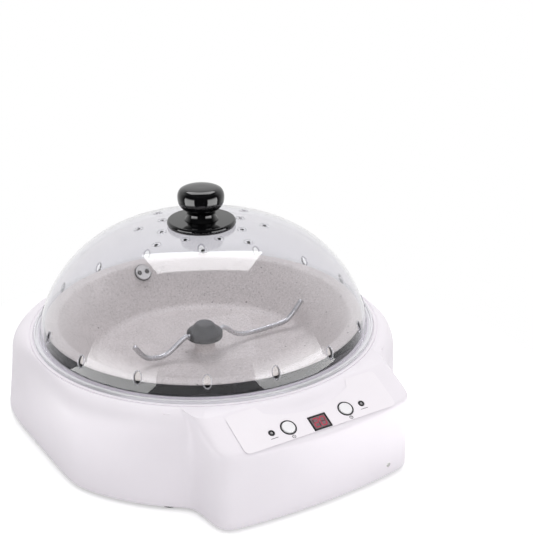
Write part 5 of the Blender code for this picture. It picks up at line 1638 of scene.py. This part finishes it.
@dataclass
class Stirrer(Assembly):
    """The hub that stands on the drive shaft and its two rods."""

    hub_r: float = 0.0140
    hub_z: float = 0.0606
    hub_top_r: float = 0.0084
    hub_top_z: float = 0.0735
    edge_h: float = 0.0062
    bore_r: float = 0.0038
    bore_top_z: float = 0.0673
    rod_r: float = 0.0020
    rod_z: float = 0.0545
    socket: float = 0.0057
    socket_rise: float = 0.0036
    long_reach: float = 0.0700
    long_tip: Point = (0.0900, 0.0695)
    short_reach: float = 0.0460
    short_tip: Point = (0.0600, 0.0675)

    def hub(self) -> bpy.types.Mesh:
        """The moulded hub, with its bore and rod sockets.

        Returns:
            The hub.
        """
        foot, top, edge = self.hub_z, self.hub_top_z, self.hub_z + self.edge_h
        profile = rounded([(0, top), (self.hub_top_r * 0.8, top - 0.0006, 0.004),
                           (self.hub_top_r, top - 0.0030, 0.003),
                           (self.hub_top_r * 1.15, top - 0.0045, 0.002), (self.hub_r * 0.92, edge, 0.0022),
                           (self.hub_r, edge - 0.0014, 0.0015), (self.hub_r, foot + 0.0006, 0.0006),
                           (self.hub_r - 0.0006, foot), (0, foot)], 6)
        ways = [post("bore", self.bore_r, foot - 0.004, self.bore_top_z),
                post("rod_way", self.rod_r + GAP, -self.hub_r * 1.5, self.hub_r * 1.5,
                     shift(z=foot + self.socket_rise) @ turn(pi / 2, "Y"), 32)]
        return carved(turned("stirrer_hub_moulded", profile, 96, False), ways)

    def rod_path(self, reach: float, tip: Point, side: int) -> list[Place]:
        """A smooth line out of the hub, down to the pan's floor and up its wall.

        Args:
            reach: Where the rod starts to rise.
            tip: Its end, as (out, height).
            side: 1 for +X, -1 for -X.

        Returns:
            The line's points.
        """
        high = self.hub_z + self.socket_rise
        bend = (reach + tip[0]) / 2
        marks = [Vector(p) for p in (
            (self.socket, 0, high), (self.hub_r + GAP, 0, high), (self.hub_r * 1.3, 0, high),
            (self.hub_r * 2.4, 0, self.rod_z), (reach, 0, self.rod_z),
            (bend, 0, self.rod_z + (tip[1] - self.rod_z) * 0.28), (tip[0], 0, tip[1]))]
        return [(p.x * side, p.y, p.z) for p in flowing(marks, 8)]

    def build(self) -> None:
        """Makes the hub and the two rods."""
        self.keep("stirrer_hub_moulded", self.hub(), BLACK_PART, "stirrer", "black_matt", ["stirrer_hub"])
        for word, reach, tip, side in (("long", self.long_reach, self.long_tip, 1),
                                       ("short", self.short_reach, self.short_tip, -1)):
            rod = tube(f"stirrer_rod_{word}", self.rod_path(reach, tip, side), self.rod_r)
            self.keep(f"stirrer_rod_{word}", rod, STEEL, "stirrer", "steel", [f"stirrer_arm_{word}"])


class Mark(Enum):
    """The plain marks printed on the panel."""

    POWER = "power"
    CLOCK = "clock"
    DASH = "dash"


class Segment(Enum):
    """The seven bars of a digit, as (across, up, upright) in half-widths and half-heights."""

    TOP = (0.0, 1.0, False)
    MIDDLE = (0.0, 0.0, False)
    FOOT = (0.0, -1.0, False)
    TOP_LEFT = (-1.0, 0.5, True)
    TOP_RIGHT = (1.0, 0.5, True)
    FOOT_LEFT = (-1.0, -0.5, True)
    FOOT_RIGHT = (1.0, -0.5, True)


SIDES = ((-1, "left"), (1, "right"))
DIGIT_TWO = (Segment.TOP, Segment.TOP_RIGHT, Segment.MIDDLE, Segment.FOOT_LEFT, Segment.FOOT)
DIGIT_NOUGHT = tuple(bar for bar in Segment if bar is not Segment.MIDDLE)


@dataclass
class ControlPanel(Assembly):
    """The film on the sloping panel with its buttons, lamps, display and printed marks."""

    button_x: float = 0.0233
    lamp_x: float = 0.0366
    button_r: float = 0.0048
    button_proud: float = 0.0014
    button_depth: float = 0.0040
    stem_r: float = 0.0018
    stem_end: float = -0.0057
    bezel_r: float = 0.0056
    bezel_flange_r: float = 0.0069
    bezel_flange_t: float = 0.0010
    bezel_proud: float = 0.0010
    lamp_r: float = 0.0011
    lamp_ring_r: float = 0.0021
    lamp_proud: float = 0.0010
    lamp_depth: float = 0.0060
    display_w: float = 0.0140
    display_h: float = 0.0113
    display_drop: float = 0.0033
    display_frame: float = 0.0008
    display_proud: float = 0.0009
    film_t: float = 0.00022
    film_half_x: float = 0.0610
    film_low: float = 0.0096
    film_corner: float = 0.0040
    film_margin: float = 0.0034
    ink_t: float = 0.00003
    mark_down: float = 0.0077
    mark_h: float = 0.0028
    dash_down: float = 0.0044
    dash_h: float = 0.0026
    stroke_share: float = 0.15
    digit_w: float = 0.0037
    digit_h: float = 0.0068
    digit_bar: float = 0.00085
    digit_pitch: float = 0.0052
    digit_lean: float = 0.10

    @classmethod
    def openings(cls, housing: Housing) -> list[bpy.types.Mesh]:
        """Cutters for the panel's holes.

        Args:
            housing: The shell that they are cut in.

        Returns:
            The cutters.
        """
        sizes = cls()
        low, high = -housing.wall - 0.002, 0.004
        cutters = [post("round_way", r + GAP, low, high, housing.panel(x)) for x, r in sizes.round_holes()]
        window = rectangle(sizes.display_w / 2 + GAP, sizes.display_h / 2 + GAP)
        at = housing.panel(0.0, sizes.display_drop)
        return [*cutters, moved(prism("window_way", window, low, high), at)]

    def round_holes(self) -> tuple[Point, ...]:
        """The round holes as (across, radius)."""
        pairs = ((self.button_x, self.bezel_r), (self.lamp_x, self.lamp_ring_r))
        return tuple((side * x, r) for x, r in pairs for side, _ in SIDES)

    @staticmethod
    def shoulder_line(housing: Housing, across: float) -> float:
        """How far up the panel the shoulder starts.

        Args:
            housing: The shell.
            across: The place across the panel.

        Returns:
            The distance up from the buttons' row.
        """
        low, high = 0.0, (housing.crest_z - housing.row_z) / sin(housing.panel_tilt)
        for _ in range(30):
            up = (low + high) / 2
            y = housing.row_y - up * cos(housing.panel_tilt)
            z = housing.row_z + up * sin(housing.panel_tilt)
            if housing.radius(atan2(-y, across), z) - hypot(across, y) < GAP:
                low = up
            else:
                high = up
        return low

    def film_outline(self, housing: Housing) -> list[Point]:
        """The film's edge: straight sides and foot, its top drawn down round the shoulder.

        Args:
            housing: The shell that it lies on.

        Returns:
            The edge, anticlockwise.
        """
        corner, half, low = self.film_corner, self.film_half_x, -self.film_low
        points = arc((-half + corner, low + corner), corner, 180, 270, 10)
        points += arc((half - corner, low + corner), corner, 270, 360, 10)
        reach = half - corner
        high = self.shoulder_line(housing, reach) - self.film_margin
        points += arc((reach, high - corner), corner, 0, 75, 8)
        for i in range(41):
            across = reach * (1 - i / 20)
            points.append((across, self.shoulder_line(housing, across) - self.film_margin))
        return points + arc((-reach, high - corner), corner, 105, 180, 8)

    def film(self, housing: Housing) -> bpy.types.Mesh:
        """The film with its holes."""
        holes = [arc((x, 0.0), r + GAP, 0, 352.5, 48) for x, r in self.round_holes()]
        holes.append(rectangle(self.display_w / 2 + GAP, self.display_h / 2 + GAP, 0.0, -self.display_drop))
        return slab("panel_film", self.film_outline(housing), GAP, GAP + self.film_t, holes)

    def mark(self, mark: Mark, x: float) -> list[bpy.types.Mesh]:
        """The ink of one mark.

        Args:
            mark: Which mark.
            x: Its middle across the panel.

        Returns:
            Its strokes.
        """
        down, size = (self.dash_down, self.dash_h) if mark is Mark.DASH else (self.mark_down, self.mark_h)
        middle, low, stroke, r = Vector((x, -down)), GAP + self.film_t, size * self.stroke_share, size / 2

        def bar(x1: float, y1: float, x2: float, y2: float) -> bpy.types.Mesh:
            """One straight stroke.

            Args:
                x1: Its start, measured across from the mark's middle.
                y1: Its start, measured up from the mark's middle.
                x2: Its end, measured across.
                y2: Its end, measured up.

            Returns:
                The stroke.
            """
            start, stop = middle + Vector((x1, y1)), middle + Vector((x2, y2))
            way = (stop - start).normalized() * stroke / 2
            side = Vector((-way.y, way.x))
            corners = [start - way - side, stop + way - side, stop + way + side, start - way + side]
            return slab("stroke", [tuple(c) for c in corners], low, low + self.ink_t)

        def bow(first: float, last: float) -> bpy.types.Mesh:
            """One round stroke between two angles in degrees."""
            outline = arc(tuple(middle), r, first, last, 40) + arc(tuple(middle), r - stroke, last, first, 40)
            return slab("bow", outline, low, low + self.ink_t)

        if mark is Mark.POWER:
            return [bow(125, 415), bar(0, 0, 0, r)]
        if mark is Mark.CLOCK:
            return [bow(90, 449), bar(0, 0, 0, r * 0.62), bar(0, 0, r * 0.5, 0)]
        return [bar(-size, 0, size, 0)]

    def bar_outline(self, bar: Segment, x: float, y: float) -> list[Point]:
        """The pointed outline of one bar of a digit.

        Args:
            bar: Which bar.
            x: The digit's middle across the display.
            y: The digit's middle up the display.

        Returns:
            The outline.
        """
        across, up, upright = bar.value
        half_w, half_h, half = self.digit_w / 2, self.digit_h / 2, self.digit_bar / 2
        long = (half_h / 2 if upright else half_w) - half * 0.35
        block = rectangle(long - half, half)
        outline = [(-long, 0), *block[:2], (long, 0), *block[2:]]
        if upright:
            outline = [(-v, u) for u, v in outline]
        outline = [(u + across * half_w, v + up * half_h) for u, v in outline]
        return [(x + u + v * self.digit_lean, y + v) for u, v in outline]

    def digits(self, lit: bool) -> bpy.types.Mesh:
        """The lit or the dark bars of both digits.

        Args:
            lit: Which of the two.

        Returns:
            The bars.
        """
        low, digits = self.display_proud - GAP, ((-1, DIGIT_TWO), (1, DIGIT_NOUGHT))
        return joined("digit_bars", [
            slab("bar", self.bar_outline(bar, side * self.digit_pitch / 2, 0.0), low, low + self.ink_t)
            for side, shown in digits for bar in Segment if (bar in shown) == lit])

    def build(self) -> None:
        """Makes every piece of the panel."""
        housing = Housing()
        flat = housing.panel()
        self.keep("panel_film", self.film(housing), PANEL_FILM, "base", "label_film", ["control_panel"], flat)
        marks = ((Mark.POWER, -self.button_x), (Mark.CLOCK, self.button_x), (Mark.DASH, -self.lamp_x),
                 (Mark.DASH, self.lamp_x))
        strokes = [stroke for mark, x in marks for stroke in self.mark(mark, x)]
        self.keep("panel_ink", joined("panel_ink", strokes), INK, "base", "label_film", (), flat)
        for side, word in SIDES:
            self.build_button(housing, side, word)
            self.build_lamp(housing, side, word)
        self.build_display(housing)

    def build_button(self, housing: Housing, side: int, word: str) -> None:
        """Makes one button and its ring.

        Args:
            housing: The shell that it sits in.
            side: -1 for the left, 1 for the right.
            word: The side's name.
        """
        at = housing.panel(side * self.button_x)
        inner, under = self.button_r + GAP, -housing.wall - GAP * 2
        bezel = rounded([(inner, self.bezel_proud, 0.0003), (self.bezel_r, self.bezel_proud, 0.0004),
                         (self.bezel_r, under), (self.bezel_flange_r, under, 0.0002),
                         (self.bezel_flange_r, under - self.bezel_flange_t, 0.0002),
                         (inner, under - self.bezel_flange_t)], 4, True)
        self.keep(f"button_ring_{word}_turned", turned("button_ring", bezel, 72), BLACK_TRIM, "base",
                  "black_gloss", [f"button_ring_{word}"], at)
        top = self.button_proud
        cap = rounded([(0, top - 0.00035), (self.button_r * 0.55, top - 0.00025, 0.002),
                       (self.button_r * 0.86, top, 0.0012), (self.button_r, top - 0.0006, 0.0007),
                       (self.button_r, -self.button_depth, 0.0003), (self.stem_r, -self.button_depth),
                       (self.stem_r, self.stem_end, 0.0003), (0, self.stem_end)], 6)
        self.keep(f"button_{word}_cap", turned("button_cap", cap, 72, False), WHITE_BUTTON,
                  f"button_{word}_body", "white_plastic", [f"button_{word}"], at)

    def build_lamp(self, housing: Housing, side: int, word: str) -> None:
        """Makes one lamp and its ring.

        Args:
            housing: The shell that it sits in.
            side: -1 for the left, 1 for the right.
            word: The side's name.
        """
        at = housing.panel(side * self.lamp_x)
        inner, top = self.lamp_r + GAP, self.lamp_proud
        edge = rounded([(inner, top, 0.0003), (self.lamp_ring_r, top, 0.0004),
                        (self.lamp_ring_r, -housing.wall), (inner, -housing.wall)], 4, True)
        self.keep(f"lamp_ring_{word}_turned", turned("lamp_ring", edge, 48), BLACK_TRIM, "base",
                  "black_gloss", [f"lamp_ring_{word}"], at)
        lens = [(0, top)] + arc((0, top - self.lamp_r), self.lamp_r, 80, 0, 9)
        lens += [(self.lamp_r, -self.lamp_depth), (0, -self.lamp_depth)]
        self.keep(f"lamp_{word}_lens", turned("lamp_lens", lens, 40, False), SMOKY_LAMP, "base", "lamp_lens",
                  [f"lamp_{word}"], at)

    def build_display(self, housing: Housing) -> None:
        """Makes the display's frame, face and digits.

        Args:
            housing: The shell that it sits in.
        """
        at = housing.panel(0.0, self.display_drop)
        half_w, half_h, rim = self.display_w / 2, self.display_h / 2, self.display_frame
        bezel = slab("display_bezel", rectangle(half_w, half_h), -housing.wall, self.display_proud,
                     [rectangle(half_w - rim, half_h - rim)], 0.0002)
        self.keep("display_bezel", bezel, BLACK_TRIM, "base", "black_gloss", ["display_frame"], at)
        pane = slab("display_face", rectangle(half_w - rim - GAP, half_h - rim - GAP), -housing.wall,
                    self.display_proud - GAP)
        self.keep("display_face", pane, DISPLAY_FACE, "base", "display_red", ["display_window"], at)
        self.keep("display_digits_lit", self.digits(True), LIT_DIGIT, "base", "display_red", (), at)
        self.keep("display_digits_dark", self.digits(False), DARK_DIGIT, "base", "display_red", (), at)


@dataclass
class Underside(Assembly):
    """Base plate, feet, gland and the screws that show from outside."""

    foot_r: float = 0.0080
    foot_top: float = 0.0040
    pocket_r: float = 0.0042
    pocket_z: float = 0.0022
    hole_r: float = 0.0019
    screw_r: float = 0.0030
    screw_h: float = 0.0010
    shank_r: float = 0.0015
    shank_l: float = 0.0096
    gland_r: float = 0.0058
    gland_flange_r: float = 0.0085
    gland_flange_t: float = 0.0020
    gland_tip_r: float = 0.0046
    gland_tip_l: float = 0.0120
    gland_bore_r: float = 0.0034
    gland_ribs: int = 4

    def build(self) -> None:
        """Makes the feet, the front screw and the gland."""
        housing = Housing()
        for word, (x, y) in housing.foot_places().items():
            foot = rounded([(self.hole_r, self.foot_top), (self.foot_r, self.foot_top, 0.0003),
                            (self.foot_r, 0.0009, 0.0005), (self.foot_r * 0.93, 0.0, 0.0005),
                            (self.pocket_r, 0.0, 0.0003), (self.pocket_r, self.pocket_z),
                            (self.hole_r, self.pocket_z)], 5, True)
            self.keep(f"foot_{word}_moulded", turned("foot", foot, 56), RUBBER, "base", "rubber",
                      [f"foot_{word}"], shift(x, y))
        floor = housing.front_at(housing.screw_x) - housing.recess_depth
        at = shift(housing.screw_x, -floor, housing.screw_z) @ turn(pi / 2, "X")
        head = moved(slotted_head(self.screw_r, self.screw_h), shift(z=GAP))
        shank = post("shank", self.shank_r, -self.shank_l, GAP, steps=24)
        self.keep("front_screw_slotted", carved(head, [shank], operation="UNION"), SCREW_STEEL, "base",
                  "dark_steel", ["front_screw"], at)
        self.build_gland(housing)

    def build_gland(self, housing: Housing) -> None:
        """Makes the ribbed bushing at the rear.

        Args:
            housing: The shell that it sits in.
        """
        at = shift(0, housing.rear_y + housing.draft + GAP, housing.gland_z) @ turn(-pi / 2, "X")
        t, tip = self.gland_flange_t, self.gland_flange_t + self.gland_tip_l
        inner = -(housing.wall + housing.draft) - t * 1.5
        start, pitch = t * 1.9, (tip - t * 2.3) / self.gland_ribs
        ribs = []
        for i in range(self.gland_ribs):
            at_z = tip - pitch * (i + 0.1)
            out = self.gland_tip_r + (self.gland_r - self.gland_tip_r) * (tip - at_z) / (tip - start)
            ribs += [(out, at_z, 0.0003), (out, at_z - pitch * 0.5, 0.0003),
                     (out - 0.0007, at_z - pitch * 0.55, 0.0002), (out - 0.0007, at_z - pitch * 0.95, 0.0002)]
        profile = rounded([(self.gland_bore_r, tip, 0.0003), (self.gland_tip_r, tip, 0.0004), *ribs,
                           (self.gland_r, t * 1.5, 0.0003), (self.gland_r, t, 0.0003),
                           (self.gland_flange_r, t, 0.0007), (self.gland_flange_r, 0, 0.0003),
                           (self.gland_r, 0), (self.gland_r, inner, 0.0005),
                           (self.gland_bore_r, inner, 0.0003)], 4, True)
        self.keep("cord_gland_ribbed", turned("cord_gland_ribbed", profile, 56), BLACK_PART, "base",
                  "part_black", ["cord_gland"], at)

    def dress(self) -> None:
        """Finishes the base plate and its screws."""
        self.finish_nodes({"base_plate": WHITE_BODY})
        self.finish_nodes({f"base_screw_{word}": DARK_STEEL for word in Housing().foot_places()})


@dataclass
class Workings(Assembly):
    """What is inside: heater, shield, motor, boards and switches, kept as they are and finished."""

    def dress(self) -> None:
        """Finishes every inner node."""
        groups = {
            STEEL: "heat_shield shield_post_1 shield_post_2 shield_post_3 gear_motor motor_bracket"
                   " drive_shaft",
            DARK_STEEL: "heating_element motor_screw_left motor_screw_right",
            BLACK_PART: "thermostat relay display_module switch_left switch_right",
            GREEN_BOARD: "control_board power_board", CERAMIC: "thermal_fuse", BRONZE: "shaft_bush"}
        for finish, names in groups.items():
            self.finish_nodes({name: finish for name in names.split()})


# Studio


@dataclass(frozen=True)
class Softbox:
    """An area light that points at the object; its azimuth counts degrees to the right of the camera."""

    name: str
    azimuth: float
    height: float
    reach: float
    size: Point
    power: float
    mirrored: bool = False


SOFTBOXES = (
    Softbox("box_left", azimuth=-57.0, height=0.13, reach=1.30, size=(1.35, 0.14), power=0.5),
    Softbox("box_right", azimuth=57.0, height=0.13, reach=1.30, size=(1.35, 0.14), power=1.6),
    Softbox("box_behind", azimuth=180.0, height=1.05, reach=0.58, size=(0.75, 0.46), power=4.4,
            mirrored=True),
    Softbox("box_key", azimuth=16.0, height=1.00, reach=1.00, size=(0.90, 0.90), power=3.8))


@dataclass
class Studio:
    """Floor, soft lights and the camera at the photograph's angle."""

    distance: float = 0.9014546
    elevation: float = 0.4393
    roll: float = -0.0054
    focal_share: float = 1162.3704 / 535.0
    yaw: float = 0.0593
    pitch: float = -0.3957
    aim_z: float = 0.100
    drop: float = 0.0245
    sensor: float = 36.0
    clip: Point = (0.05, 20.0)
    ambient: float = 0.35
    overhead: float = 0.58
    floor_half: float = 6.0
    floor_squares: int = 12

    def camera(self) -> None:
        """Puts the camera where the photograph was taken from."""
        data = bpy.data.cameras.new("photo_camera")
        data.sensor_width = self.sensor
        data.lens = self.focal_share * self.sensor
        data.clip_start, data.clip_end = self.clip
        eye = Vector((0, -self.distance * cos(self.elevation),
                      self.aim_z + self.distance * sin(self.elevation) - self.drop))
        ahead = Vector((sin(self.yaw) * cos(self.pitch), cos(self.yaw) * cos(self.pitch), sin(self.pitch)))
        right = Vector((cos(self.yaw), -sin(self.yaw), 0.0))
        up = right.cross(ahead)
        across = right * cos(self.roll) + up * sin(self.roll)
        above = up * cos(self.roll) - right * sin(self.roll)
        spin = turn(-VIEW_AZIMUTH, "Z")
        place = Matrix([spin.to_3x3() @ one for one in (across, above, -ahead)]).transposed().to_4x4()
        place.translation = spin @ eye + Vector((0, AXIS_Y, 0))
        camera = placed("photo_camera", data)
        camera.matrix_world = place
        bpy.context.scene.camera = camera

    def light(self, box: Softbox) -> None:
        """Puts up one area light.

        Args:
            box: Its place, size and power.
        """
        data = bpy.data.lights.new(box.name, "AREA")
        data.shape = "RECTANGLE"
        data.size, data.size_y = box.size
        data.energy = box.power
        angle = -VIEW_AZIMUTH + radians(box.azimuth)
        place = Vector((sin(angle) * box.reach, -cos(angle) * box.reach + AXIS_Y, box.height))
        light = placed(box.name, data)
        light.location = place
        light.rotation_euler = (Vector((0, AXIS_Y, self.aim_z)) - place).to_track_quat("-Z", "Y").to_euler()
        light.visible_camera = False
        light.visible_glossy = box.mirrored

    def world(self) -> None:
        """A soft surrounding: white where it is seen, and for gloss pale behind and dark in front."""
        made = bpy.data.worlds.new("studio")
        bpy.context.scene.world = made
        shader = Shader(made, "World")
        plain, mirrored = shader.ray("Camera") | shader.ray("Transmission"), shader.ray("Glossy")
        way = shader.node("ShaderNodeTexCoord").outputs["Generated"]
        rise = shader.along(way, (0.0, 0.0, 1.0))
        soft = self.ambient + self.overhead * rise.within(0.0, 1.0)
        unseen = mirrored * MIRRORED.level(shader, way, rise) + (1.0 - mirrored) * soft
        level = plain + (1.0 - plain) * unseen
        shader.finish(shader.surface("Background", Color=(1.0, 1.0, 1.0), Strength=level))

    def floor(self) -> None:
        """A wide pale floor."""

        def fill(work: bmesh.types.BMesh) -> None:
            """Adds a grid."""
            bmesh.ops.create_grid(work, x_segments=self.floor_squares, y_segments=self.floor_squares,
                                  size=self.floor_half)

        mesh = mesh_of("studio_floor", fill)
        mesh.materials.append(material(FLOOR))
        placed("studio_floor", mesh)

    def build(self) -> None:
        """Sets up the view, floor and lights."""
        bpy.context.scene.view_settings.view_transform = "Standard"
        self.camera()
        self.world()
        self.floor()
        for box in SOFTBOXES:
            self.light(box)


def main() -> None:
    """Builds the object piece by piece, then the studio."""
    logging.basicConfig(level=logging.INFO, format="%(message)s")
    for assembly in (Housing(), DomeLid(), LidKnob(), RoastingPan(), Stirrer(), ControlPanel(), Underside(),
                     Workings()):
        assembly.build()
        assembly.dress()
        assembly.report()
    Studio().build()


if __name__ == "__main__":
    main()
